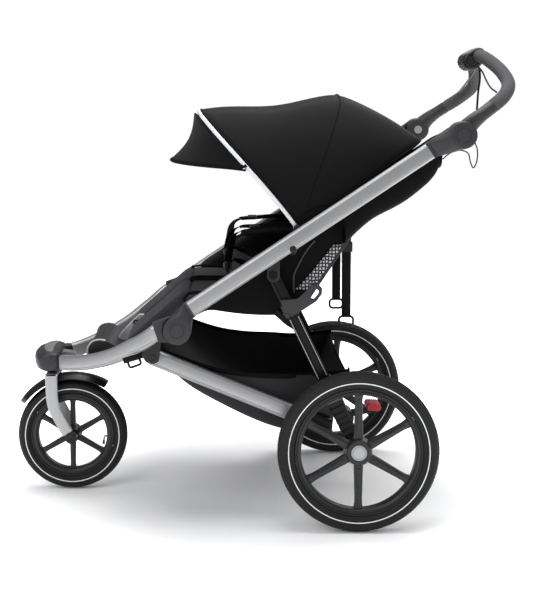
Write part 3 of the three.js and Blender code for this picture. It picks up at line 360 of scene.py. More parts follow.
@dataclass(frozen=True)
class Finish:
    """One finish: its record slot, colour and how it is patterned."""

    name: str
    slot: str
    color: Triple
    roughness: float
    metallic: float = 0.0
    surface: Surface = Surface.GRAIN
    scale: float = 900.0
    bump: float = 0.15
    bump_depth: float = 0.0002
    drift: float = 0.25
    light: Triple = (0.0, 0.0, 0.0)
    worn: float = 0.0
    sheen: float = 0.0
    folds: float = 0.0
    gloss: float = 0.3

    SPREAD: ClassVar[float] = 0.06

    def material(self) -> bpy.types.Material:
        """The finish's material, made on first use."""
        found = bpy.data.materials.get(self.name)
        if found:
            return found
        found = bpy.data.materials.new(self.name)
        found.use_nodes = True
        tree = found.node_tree
        shader = tree.nodes["Principled BSDF"]
        wire(tree, shader, {"Metallic": self.metallic, "Specular IOR Level": self.gloss,
                            "Sheen Weight": self.sheen, "Sheen Roughness": 0.5})
        group, size = {Surface.BRUSHED: (Groups.brushed, "Scale"),
                       Surface.GRAIN: (Groups.grain, "Scale")}.get(self.surface, (Groups.weave, "Pitch"))
        pattern = add_node(tree, "Group", {size: self.scale}, node_tree=group())
        self._tone(tree, shader, pattern.outputs)
        self._relief(tree, shader, pattern.outputs)
        if self.surface is Surface.NET:
            self._cells(tree, shader)
        return found

    def _tone(self, tree: Tree, shader: Node, pattern: Outputs) -> None:
        """Joins the slow change of colour and roughness, and the wear on edges."""
        low = [c * (1 - self.drift) for c in self.color]
        high = [min(1.0, c * (1 + self.drift) + l) for c, l in zip(self.color, self.light)]
        color = mixed_color(tree, pattern["Tone"], (*low, 1), (*high, 1))
        if self.worn > 0:
            mask = add_node(tree, "Group", node_tree=Groups.wear()).outputs["Mask"]
            color = mixed_color(tree, mask, color, (*(min(1.0, c + self.worn) for c in self.color), 1))
        span = add_node(tree, "MapRange", {"Value": pattern["Tone"],
                                           "To Min": max(0.05, self.roughness - self.SPREAD),
                                           "To Max": min(1.0, self.roughness + self.SPREAD)})
        wire(tree, shader, {"Base Color": color, "Roughness": span.outputs["Result"]})

    def _relief(self, tree: Tree, shader: Node,
                pattern: Outputs) -> None:
        """Joins the fine relief, and on cloth the slow wrinkles under it."""
        fine = add_node(tree, "Bump", {"Strength": self.bump, "Distance": self.bump_depth,
                                       "Height": pattern["Height"]})
        if self.folds > 0:
            slow = add_node(tree, "Bump", {"Strength": 0.5, "Distance": self.folds,
                                           "Height": pattern["Folds"]})
            wire(tree, fine, {"Normal": slow.outputs["Normal"]})
        wire(tree, shader, {"Normal": fine.outputs["Normal"]})

    @staticmethod
    def _cells(tree: Tree, shader: Node) -> None:
        """Pale cells between the threads of a net."""
        cells = add_node(tree, "TexVoronoi", feature="DISTANCE_TO_EDGE")
        wire(tree, cells, {"Scale": 120.0, "Randomness": 0.3, "Vector": object_place(tree)})
        gap = Groups.math(tree, "GREATER_THAN", cells.outputs["Distance"], 0.21)
        thread = shader.inputs["Base Color"].links[0].from_socket
        wire(tree, shader, {"Base Color": mixed_color(tree, gap, thread, (0.42, 0.42, 0.43, 1.0))})


ALUMINIUM = Finish("anodised_aluminium", "aluminium", (0.335, 0.335, 0.339), 0.4, 0.75, Surface.BRUSHED,
                   260.0, 0.25, 0.0003, 0.05, gloss=0.5)
FORK_METAL = Finish("satin_fork_metal", "aluminium", (0.36, 0.36, 0.365), 0.45, 0.6, Surface.GRAIN, 700.0,
                    0.2, 0.0002, 0.06, gloss=0.5)
DARK = Finish("dark_moulding", "dark_plastic", (0.022, 0.022, 0.024), 0.48, worn=0.02)
WHEEL_DARK = Finish("wheel_moulding", "dark_plastic", (0.011, 0.011, 0.012), 0.42, worn=0.02, gloss=0.35)
BLACK = Finish("black_moulding", "black_plastic", (0.006, 0.006, 0.0065), 0.42, worn=0.015, gloss=0.3)
GREY = Finish("grey_moulding", "grey_plastic", (0.12, 0.12, 0.125), 0.5, worn=0.03)
CAP = Finish("satin_cap", "grey_plastic", (0.30, 0.305, 0.32), 0.35, 0.5, drift=0.08, gloss=0.5)
RED = Finish("red_pedal_grip", "red_plastic", (0.50, 0.028, 0.036), 0.42, scale=600.0, worn=0.05)
TYRE = Finish("tyre_rubber", "tyre", (0.0065, 0.0065, 0.0068), 0.7, scale=500.0, bump=0.35, bump_depth=0.0004,
              gloss=0.3)
LINE = Finish("tyre_line", "trim_fabric", (0.72, 0.73, 0.74), 0.5, drift=0.03)
FOAM = Finish("grip_foam", "foam_rubber", (0.062, 0.062, 0.064), 0.85, scale=1500.0, bump=0.5,
              bump_depth=0.0004, gloss=0.2)
BLOCK = Finish("block_rubber", "block_rubber", (0.006, 0.006, 0.006), 0.5, scale=600.0)
CABLE = Finish("cable_sheath", "cable", (0.007, 0.007, 0.007), 0.4)
STEEL_BLACK = Finish("powder_coat", "black_steel", (0.0045, 0.0045, 0.005), 0.42, worn=0.012, gloss=0.14)
STEEL = Finish("plain_steel", "steel", (0.45, 0.46, 0.48), 0.3, 0.9, gloss=0.5)
CLOTH = Finish("canopy_cloth", "black_fabric", (0.0032, 0.0032, 0.0035), 0.85, surface=Surface.WEAVE,
               scale=1.2, bump=0.3, bump_depth=0.0003, drift=0.35, sheen=0.03, folds=0.002, gloss=0.1)
# painted light: the basket's black cloth is a lighter copy of the canopy's, to lift the shade inside the
# basket
TUB_PAINTED_LIGHT = Finish("basket_cloth", "black_fabric", (0.022, 0.022, 0.0235), 0.85, surface=Surface.WEAVE, scale=1.3,
             bump=0.3, bump_depth=0.0003, drift=0.35, sheen=0.05, folds=0.002, gloss=0.12)
BAND = Finish("binding_tape", "black_fabric", (0.0025, 0.0025, 0.003), 0.9, surface=Surface.WEAVE, scale=2.0,
              bump=0.5, bump_depth=0.0004, gloss=0.1)
PIPING = Finish("grey_piping", "black_fabric", (0.045, 0.045, 0.048), 0.7, surface=Surface.WEAVE, scale=1.5,
                gloss=0.15)
SEAT = Finish("melange_cloth", "seat_fabric", (0.024, 0.024, 0.0258), 0.92, surface=Surface.WEAVE, scale=1.8,
              bump=0.5, bump_depth=0.0005, drift=0.45, light=(0.014, 0.014, 0.015), sheen=0.05, folds=0.0015,
              gloss=0.1)
WEBBING = Finish("webbing", "black_fabric", (0.0045, 0.0045, 0.005), 0.75, surface=Surface.WEAVE, scale=2.6,
                 bump=0.7, bump_depth=0.0006, gloss=0.15)
TRIM = Finish("reflective_trim", "trim_fabric", (0.55, 0.555, 0.57), 0.6, surface=Surface.WEAVE, scale=1.4,
              drift=0.06)
NET = Finish("honeycomb_net", "black_fabric", (0.012, 0.012, 0.013), 0.8, surface=Surface.NET, scale=1.5)


# ---------- makers ----------
def in_scene(name: str, data: bpy.types.ID) -> Piece:
    """A new object with the given data, put in the scene."""
    made = bpy.data.objects.new(name, data)
    bpy.context.scene.collection.objects.link(made)
    return made


def shade(mesh: bpy.types.Mesh, sharp: Optional[float] = None) -> None:
    """Smooths a mesh's shading, but for edges sharper than the given angle."""
    mesh.polygons.foreach_set("use_smooth", [True] * len(mesh.polygons))
    if sharp is not None:
        mesh.set_sharp_from_angle(angle=math.radians(sharp))


def settled(piece: Piece) -> bpy.types.Mesh:
    """A copy of a piece's mesh with its modifiers applied."""
    return bpy.data.meshes.new_from_object(piece.evaluated_get(bpy.context.evaluated_depsgraph_get()))


def mesh_piece(name: str, vertices: Sequence[Vector], faces: Sequence[Sequence[int]], finish: Finish,
               sharp: float = SMOOTH) -> Piece:
    """A piece from its points and faces, smooth but for edges sharper than the given angle.

    Args:
        name: The piece's name.
        vertices: Its points, in millimetres.
        faces: Its faces, as indices of points.
        finish: Its finish.
        sharp: The angle in degrees above which an edge stays sharp.

    Returns:
        The new object.
    """
    mesh = bpy.data.meshes.new(name)
    mesh.from_pydata([v * MM for v in vertices], [], faces)
    work = bmesh.new()
    work.from_mesh(mesh)
    bmesh.ops.remove_doubles(work, verts=work.verts, dist=WELD)
    bmesh.ops.recalc_face_normals(work, faces=work.faces)
    work.to_mesh(mesh)
    work.free()
    shade(mesh, sharp)
    mesh.materials.append(finish.material())
    return in_scene(name, mesh)


def mount(piece: Piece, body: str, finish: Finish, *replaced: str) -> Piece:
    """Puts a piece on its body, hides the nodes that it stands for, and logs it."""
    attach(piece, body)
    return record(piece, body, finish, *replaced)


def record(piece: Piece, body: str, finish: Finish, *replaced: str) -> Piece:
    """Hides the nodes that a piece stands for, and logs it."""
    if replaced:
        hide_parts(*replaced)
    LOG.info("%s on %s", piece.name, body)
    return piece


def soften(piece: Piece, width: float, segments: int = 3) -> Piece:
    """Rounds a piece's sharp edges."""
    edges = piece.modifiers.new("rounded_edges", "BEVEL")
    edges.width = width * MM
    edges.segments = segments
    edges.limit_method = "ANGLE"
    edges.angle_limit = math.radians(BEVEL_EDGE)
    return piece


def subdivide(piece: Piece, levels: int = 1) -> Piece:
    """Smooths a piece with a subdivision surface."""
    smooth = piece.modifiers.new("smooth", "SUBSURF")
    smooth.levels = smooth.render_levels = levels
    return piece


def sweep(name: str, path: Sequence[Vector], section: Outline, finish: Finish, up: Optional[Vector] = None,
          size: Optional[Callable[[float], Pair]] = None, sharp: float = SMOOTH,
          closed: bool = False) -> Piece:
    """A section carried along a path, with flat ends.

    Args:
        name: The piece's name.
        path: The points of the path.
        section: Its outline, as pairs across and upward.
        finish: Its finish.
        up: The direction that stays upward; None turns the section as little as it can.
        size: Scale of the section, across and upward, by the share of the way along.
        sharp: The angle above which an edge stays sharp.
        closed: Whether the path's end meets its start.

    Returns:
        The new object.
    """
    count, around = len(path), len(section)
    vertices: list[Vector] = []
    upward = up.copy() if up else None
    for i, centre in enumerate(path):
        before = path[(i - 1) % count] if closed else path[max(i - 1, 0)]
        after = path[(i + 1) % count] if closed else path[min(i + 1, count - 1)]
        along = (after - before).normalized()
        if up:
            across = along.cross(up).normalized()
        else:
            if upward is None:
                upward = UP if abs(along.z) < 0.9 else CROSS
            across = along.cross(upward).normalized()
        upward = across.cross(along)
        wide, tall = size(i / (count - 1)) if size else (1.0, 1.0)
        vertices += [centre + across * (u * wide) + upward * (w * tall) for u, w in section]
    faces = []
    for i in range(count if closed else count - 1):
        row, after_row = i * around, ((i + 1) % count) * around
        for j in range(around):
            k = (j + 1) % around
            faces.append((row + j, row + k, after_row + k, after_row + j))
    if not closed:
        faces += [tuple(range(around))[::-1], tuple(range((count - 1) * around, count * around))]
    return mesh_piece(name, vertices, faces, finish, sharp)


def wire_ring(centre: Vector, outline: Outline, radius: float, finish: Finish) -> Piece:
    """A ring of round wire that stands along the stroller, from its outline round the centre."""
    path = [centre + point(u, 0, w) for u, w in outline]
    return sweep("ring", path, round_section(radius, 12), finish, CROSS, closed=True)


def rod(name: str, start: Vector, end: Vector, radius: float, finish: Finish, sides: int = 24,
        lip: float = 0.8) -> Piece:
    """A round rod between two points, with slightly rounded ends."""
    along = (end - start).normalized()
    path = [start, start + along * lip, end - along * lip, end]
    shrink = (radius - lip) / radius
    return sweep(name, path, round_section(radius, sides), finish,
                 size=lambda t: (shrink, shrink) if t in (0.0, 1.0) else (1.0, 1.0))


def lathe(name: str, profile: Outline, centre: Vector, finish: Finish, segments: int = 96,
          sharp: float = SMOOTH, relief: Optional[Callable[[int, int], float]] = None) -> Piece:
    """A profile turned about a line through the centre, square to the stroller's sides.

    Args:
        name: The piece's name.
        profile: Pairs of radius and distance along the axis; a closed ring unless it starts and ends at
            radius 0.
        centre: The point that the axis passes through.
        finish: Its finish.
        segments: Steps round the axis.
        sharp: The angle above which an edge stays sharp.
        relief: Height added to the radius, by step round the axis and by point of the profile.

    Returns:
        The new object.
    """
    vertices = []
    count = len(profile)
    for i in range(segments):
        angle = FULL_TURN * i / segments
        for j, (radius, along) in enumerate(profile):
            reach = radius + (relief(i, j) if relief else 0.0)
            vertices.append(centre + point(reach * math.cos(angle), along, reach * math.sin(angle)))
    ring = profile[0][0] > 0
    faces = []
    for i in range(segments):
        row, after = i * count, ((i + 1) % segments) * count
        for j in range(count if ring else count - 1):
            k = (j + 1) % count
            faces.append((row + j, row + k, after + k, after + j))
    return mesh_piece(name, vertices, faces, finish, sharp)


def plate(name: str, outline: Outline, low: float, high: float, finish: Finish, bevel: float = 1.5,
          holes: Sequence[Outline] = ()) -> Piece:
    """A plate whose outline lies in the XZ plane, between two distances along Y, with rounded edges.

    Args:
        name: The piece's name.
        outline: Its outline, as pairs of x and z.
        low: Its side nearer to the left.
        high: Its side nearer to the right.
        finish: Its finish.
        bevel: The radius of its edges.
        holes: Outlines cut through it.

    Returns:
        The new object.
    """
    work = bmesh.new()
    rings = []
    for ring in (outline, *holes):
        points = [work.verts.new((x * MM, low * MM, z * MM)) for x, z in ring]
        rings.append([work.edges.new((a, b)) for a, b in zip(points, points[1:] + points[:1])])
    bmesh.ops.triangle_fill(work, use_beauty=True, use_dissolve=True,
                            edges=[e for ring in rings for e in ring])
    faces = list(work.faces)
    grown = bmesh.ops.extrude_face_region(work, geom=faces)
    moved = [e for e in grown["geom"] if isinstance(e, bmesh.types.BMVert)]
    bmesh.ops.translate(work, verts=moved, vec=(0, (high - low) * MM, 0))
    bmesh.ops.recalc_face_normals(work, faces=work.faces)
    mesh = bpy.data.meshes.new(name)
    work.to_mesh(mesh)
    work.free()
    shade(mesh, PLATE_EDGE)
    mesh.materials.append(finish.material())
    made = in_scene(name, mesh)
    return soften(made, bevel) if bevel > 0 else made


def brick(name: str, centre: Pair, half: Pair, heights: Pair, finish: Finish) -> Piece:
    """An upright block: its middle and half its size, across x and y, and the heights of its ends."""
    rings = [[point(centre[0] + a * half[0], centre[1] + b * half[1], z)
              for a, b in ((-1, -1), (1, -1), (1, 1), (-1, 1))] for z in heights]
    return loft(name, rings, finish)


def side_plate(name: str, outline: Outline, side: int, near: float, far: float, finish: Finish,
               bevel: float = 1.5, holes: Sequence[Outline] = ()) -> Piece:
    """A plate on one side of the stroller, between two distances from its middle plane."""
    low, high = sorted((side * near, side * far))
    return plate(name, outline, low, high, finish, bevel, holes)


def cloth_sheet(name: str, grid: Sequence[Sequence[Vector]], thickness: float, finish: Finish,
                levels: int = 1, sharp: float = 70.0) -> Piece:
    """A sheet of cloth through a grid of points, smoothed and given its thickness."""
    columns = len(grid[0])
    faces = [(i * columns + j, i * columns + j + 1, (i + 1) * columns + j + 1, (i + 1) * columns + j)
             for i in range(len(grid) - 1) for j in range(columns - 1)]
    made = mesh_piece(name, [p for row in grid for p in row], faces, finish, sharp)
    if levels:
        subdivide(made, levels)
    shell = made.modifiers.new("cloth_thickness", "SOLIDIFY")
    shell.thickness = thickness * MM
    shell.offset = 0
    return made


def join(pieces: Sequence[Piece], name: str) -> Piece:
    """Joins pieces, modifiers applied, into one object with the first one's finish and the given name."""
    whole = bmesh.new()
    finishes: list[bpy.types.Material] = []
    for piece in pieces:
        mesh = settled(piece)
        start = len(whole.faces)
        whole.from_mesh(mesh)
        whole.faces.ensure_lookup_table()
        material = piece.data.materials[0]
        if material not in finishes:
            finishes.append(material)
        for face in whole.faces[start:]:
            face.material_index = finishes.index(material)
        bpy.data.meshes.remove(mesh)
    mesh = bpy.data.meshes.new(name)
    whole.to_mesh(mesh)
    whole.free()
    for material in finishes:
        mesh.materials.append(material)
    for piece in pieces:
        bpy.data.objects.remove(piece)
    return in_scene(name, mesh)


def turned(name: str, profile: Outline, side: int, centre: Pair, finish: Finish, segments: int = 32,
           sharp: float = HARD) -> Piece:
    """A turned piece on one side of the stroller.

    Args:
        name: The piece's name.
        profile: Pairs of radius and distance from the middle plane.
        side: -1 for the left side and 1 for the right.
        centre: Its axis, as x and z.
        finish: Its finish.
        segments: Steps round the axis.
        sharp: The angle above which an edge stays sharp.

    Returns:
        The new object.
    """
    return lathe(name, [(r, side * y) for r, y in profile], point(centre[0], 0, centre[1]), finish, segments,
                 sharp)


def bolt(name: str, x: float, z: float, side: int, face: float, radius: float, finish: Finish,
         height: float = 2.5) -> Piece:
    """A round screw head on a side face, with a hexagonal socket."""
    def at(share: float) -> float:
        """A distance from the middle plane, by its share of the head's height."""
        return face + height * share * side

    sunk = face - 0.6 * side
    profile = [(0.0, sunk), (radius, sunk), (radius, at(0.6)), (radius * 0.82, at(1.0)),
               (radius * 0.45, at(1.0)), (radius * 0.42, at(0.3)), (0.0, at(0.3))]
    return lathe(name, profile, point(x, 0, z), finish, 24, HARD)


def loft(name: str, rings: Sequence[Sequence[Vector]], finish: Finish,
         sharp: float = SMOOTH) -> Piece:
    """A closed solid through rings of points, with flat ends."""
    around = len(rings[0])
    faces: list[tuple[int, ...]] = [tuple(range(around))[::-1]]
    for i in range(len(rings) - 1):
        for j in range(around):
            k = (j + 1) % around
            faces.append((i * around + j, i * around + k, (i + 1) * around + k, (i + 1) * around + j))
    faces.append(tuple(range((len(rings) - 1) * around, len(rings) * around)))
    return mesh_piece(name, [p for ring in rings for p in ring], faces, finish, sharp)


# ---------- shared places of the frame ----------
class Place:
    """Points and sizes of the frame that several pieces share."""

    tube_low = (-175.5, 548.5)
    tube_high = (416.0, 942.0)
    slope = math.atan2(tube_high[1] - tube_low[1], tube_high[0] - tube_low[0])
    side_y = 357.0
    tube_inner = 344.0
    tube_outer = 370.0
    hub_inner = 330.0
    split = 357.7
    hinge = (-203.0, 502.0)
    tilt = (488.0, 977.0)
    rear_axle = (242.0, 199.5)
    leg_top = (32.0, 632.0)
    leg_y = 306.0
    leg_angle = math.atan2(leg_top[1] - rear_axle[1], leg_top[0] - rear_axle[0])
    wheel_face = 377.0
    bar_half = 346.0

    @classmethod
    def along_tube(cls, distance: float, across: float = 0.0) -> Pair:
        """A point along the upper side tube from its low end, and above its middle line."""
        c, s = math.cos(cls.slope), math.sin(cls.slope)
        return cls.tube_low[0] + distance * c - across * s, cls.tube_low[1] + distance * s + across * c

    @classmethod
    def tube_z(cls, x: float) -> float:
        """Height of the side tubes' middle line at x."""
        return cls.tube_low[1] + (x - cls.tube_low[0]) * math.tan(cls.slope)

    @classmethod
    def along_leg(cls, distance: float, across: float = 0.0) -> Pair:
        """A point up the rear leg from the axle, and behind its middle line."""
        c, s = math.cos(cls.leg_angle), math.sin(cls.leg_angle)
        return cls.rear_axle[0] + distance * c + across * s, cls.rear_axle[1] + distance * s - across * c

    @classmethod
    def tube_length(cls) -> float:
        """Length of the upper side tubes."""
        return math.hypot(cls.tube_high[0] - cls.tube_low[0], cls.tube_high[1] - cls.tube_low[1])


def tube_section() -> list[Pair]:
    """Half-bevelled oblong of the frame tubes, with a fine groove along each side under its upper bevel."""
    right = [(8.0, -20.0), (12.4, -16.4), (13.0, -15.4), (13.0, -13.6), (12.2, -13.1), (12.2, -12.3),
             (13.0, -11.8), (13.0, 13.4), (12.2, 15.4), (7.6, 19.8), (6.4, 20.0)]
    return right + [(-u, w) for u, w in right[::-1]]


def metal_tube(name: str, path: Sequence[Vector]) -> Piece:
    """A length of the frame's metal tube."""
    return soften(sweep(name, path, tube_section(), ALUMINIUM, UP, sharp=HARD), 0.5, 2)


def tube_sleeve(name: str, path: Sequence[Vector], wide: float, tall: float, bevel: float) -> Piece:
    """A black sleeve over a tube, so many times its width and height."""
    section = [(u * wide, w * tall) for u, w in tube_section()]
    return soften(sweep(name, path, section, BLACK, UP, sharp=HARD), bevel, 2)


# ---------- wheels ----------
@dataclass
class Wheel:
    """One wheel: tyre, the pale line round it, rim with spokes, and hub."""

    name: str
    body: str
    centre: Vector
    radius: float
    tyre_width: float
    tyre_depth: float
    rim_depth: float
    line_radius: float
    hub_radius: float
    hub_width: float
    spoke_widths: Pair
    turn: float
    side: int
    lugs: int
    nodes: Names

    COLUMNS: ClassVar[int] = 6
    LUG_STEPS: ClassVar[int] = 9
    TREAD_DEPTH: ClassVar[float] = 1.7

    def build(self) -> None:
        """Builds every piece of the wheel."""
        self.tyre()
        self.line()
        self.rim()

    def wall(self, t: float) -> float:
        """Half the tyre's width at a share t of its depth, from the rim outward."""
        shape = ((0.0, 0.60), (0.1, 0.76), (0.16, 0.80), (0.2, 0.885), (0.3, 0.94), (0.42, 0.98), (0.6, 1.0),
                 (0.74, 0.94), (0.86, 0.79), (0.95, 0.56), (1.0, 0.3))
        for (t0, w0), (t1, w1) in zip(shape, shape[1:]):
            if t <= t1:
                return lerp(w0, w1, (t - t0) / (t1 - t0)) * self.tyre_width / 2
        return 0.3 * self.tyre_width / 2

    def tyre(self) -> None:
        """The tyre, with blocks of tread cut by slanting grooves."""
        bead = self.radius - self.tyre_depth
        shares = (0.0, 0.1, 0.16, 0.2, 0.3, 0.42, 0.52, 0.62, 0.74, 0.82)
        half = [(bead + t * self.tyre_depth, self.wall(t)) for t in shares]
        crown = []
        for k in range(-self.COLUMNS, self.COLUMNS + 1):
            across = k / self.COLUMNS * 0.66
            crown.append((self.radius - self.tyre_depth * 0.13 * (abs(k) / self.COLUMNS) ** 2.4,
                          -across * self.tyre_width / 2))
        profile = half + crown + [(r, -w) for r, w in half[::-1]]
        first = len(half)

        def tread(i: int, j: int) -> float:
            """Depth of the tread at one point."""
            column = abs(j - first - self.COLUMNS)
            if column > self.COLUMNS:
                return 0.0
            groove = (i + 2 * column) % self.LUG_STEPS < 2 and column != 0
            return -self.TREAD_DEPTH if groove or column == 3 else 0.0

        made = lathe(f"{self.name}_tyre", profile, self.centre, TYRE, self.lugs * self.LUG_STEPS, HARD, tread)
        mount(made, self.body, TYRE, self.nodes[0])

    def line(self) -> None:
        """The pale line on both walls of the tyre."""
        bead = self.radius - self.tyre_depth
        for label, side in SIDES.items():
            rings = [(self.line_radius + d, side * (self.wall((self.line_radius + d - bead) / self.tyre_depth)
                                                    + lift)) for d, lift in ((-1.35, -0.5), (-1.1, 0.35),
                                                                             (1.1, 0.35), (1.35, -0.5))]
            made = lathe(f"{self.name}_line_{label}", rings, self.centre, LINE, 160, 50)
            mount(made, self.body, LINE)

    def rim(self) -> None:
        """The rim, its spokes and its hub."""
        outer = self.radius - self.tyre_depth - 0.3
        inner = outer - self.rim_depth
        h = self.tyre_width * 0.335
        deep = self.rim_depth
        half = [(outer, h), (outer - 1.2, h + 1.4), (outer - 3.2, h + 1.2), (outer - 4.4, h - 1.2),
                (outer - 5.6, h - 1.0), (outer - 0.42 * deep, h + 0.6), (outer - 0.58 * deep, h + 1.0),
                (inner + 0.28 * deep, h), (inner + 0.1 * deep, h - 2.6), (inner + 0.02 * deep, h - 5.5),
                (inner, h * 0.4)]
        pieces = [lathe("ring", half + [(r, -w) for r, w in half[::-1]], self.centre, WHEEL_DARK, 128, HARD)]
        wide, narrow = self.spoke_widths
        for k in range(6):
            angle = math.radians(self.turn + 60 * k)
            ray = point(math.sin(angle), 0, math.cos(angle))
            path = [self.centre + ray * lerp(self.hub_radius * 0.8, inner + 2, t / 8) for t in range(9)]
            spoke = sweep("spoke", path, rounded_section(wide, self.tyre_width * 0.34, 3.2, 2), WHEEL_DARK,
                          CROSS, lambda t: (lerp(1, narrow / wide, t) + 0.3 * max(0.0, t - 0.85) / 0.15,
                                            1 - 0.16 * math.sin(math.pi * t)))
            rib = sweep("rib", [p + point(0, self.side * self.tyre_width * 0.15, 0) for p in path[1:-1]],
                        rounded_section(wide * 0.42, 6, 1.5, 2), WHEEL_DARK, CROSS,
                        lambda t: (lerp(1, narrow / wide, t), 1.0))
            pieces += [spoke, rib]
        pieces.append(lathe("hub", self.hub_profile(), self.centre, WHEEL_DARK, 64, HARD))
        mount(join(pieces, f"{self.name}_rim"), self.body, WHEEL_DARK, self.nodes[1])

    def hub_profile(self) -> list[Pair]:
        """Half section of the hub, with a pocket for its cap on the outer face."""
        s, r, f = self.side, self.hub_radius, self.hub_width / 2
        pocket = 20.3 if self.hub_width < 45 else 15.0
        return [(0.0, -s * f), (r * 0.6, -s * f), (r * 0.66, -s * (f - 2)), (r, -s * (f - 5)),
                (r + 1.5, -s * (f - 8)), (r + 1.5, -s * 3.0), (r, 0.0), (r - 1.5, s * (f - 9)),
                (r - 3, s * (f - 3)), (r - 5, s * (f - 0.6)), (pocket + 2, s * f), (pocket, s * (f - 1)),
                (pocket, s * (f - 10)), (0.0, s * (f - 10))]


def hub_cap(label: str, side: int) -> None:
    """The round cap that releases a rear wheel."""
    f = Place.wheel_face
    profile = [(0.0, f - 6.4), (19.6, f - 6.4), (19.8, f - 1.2), (18.6, f + 0.3), (16.4, f + 0.6),
               (15.6, f - 0.4), (14.8, f - 0.4), (14.0, f + 0.7), (7.0, f + 1.0), (0.0, f + 1.1)]
    made = turned(f"hub_cap_{label}_button", profile, side, Place.rear_axle, CAP, 64)
    mount(made, f"cap_{label}", CAP, f"hub_cap_{label}")


def build_wheels() -> None:
    """All three wheels, the rear ones' caps and the front one's valve."""
    front = Wheel("front_wheel", "front_wheel", point(-503, 0, 149.5), 149.5, 45, 36, 20, 127.9, 22, 50,
                  (17, 13), 0, -1, 30, ("front_tyre", "front_rim"))
    front.build()
    for label, side in SIDES.items():
        wheel = Wheel(f"rear_wheel_{label}", f"rear_wheel_{label}", point(242, side * 357, 199.5), 199.5, 47,
                      42, 16, 173, 34, 40, (23, 16.5), 0 if side < 0 else 5, side, 40,
                      (f"rear_tyre_{label}", f"rear_rim_{label}"))
        wheel.build()
        hub_cap(label, side)
    path = curve_through([point(x, 0, z) for x, z in ((-409, 141), (-415, 143), (-418, 138), (-419, 130))],
                         5)
    stem = sweep("front_wheel_valve_stem", path, round_section(2.6, 12), CAP)
    mount(stem, "front_wheel", CAP)
    tip = rod("front_wheel_valve_tip", point(-419, 0, 131), point(-419.6, 0, 120), 3.6, BLACK, 16)
    mount(tip, "front_wheel", BLACK)


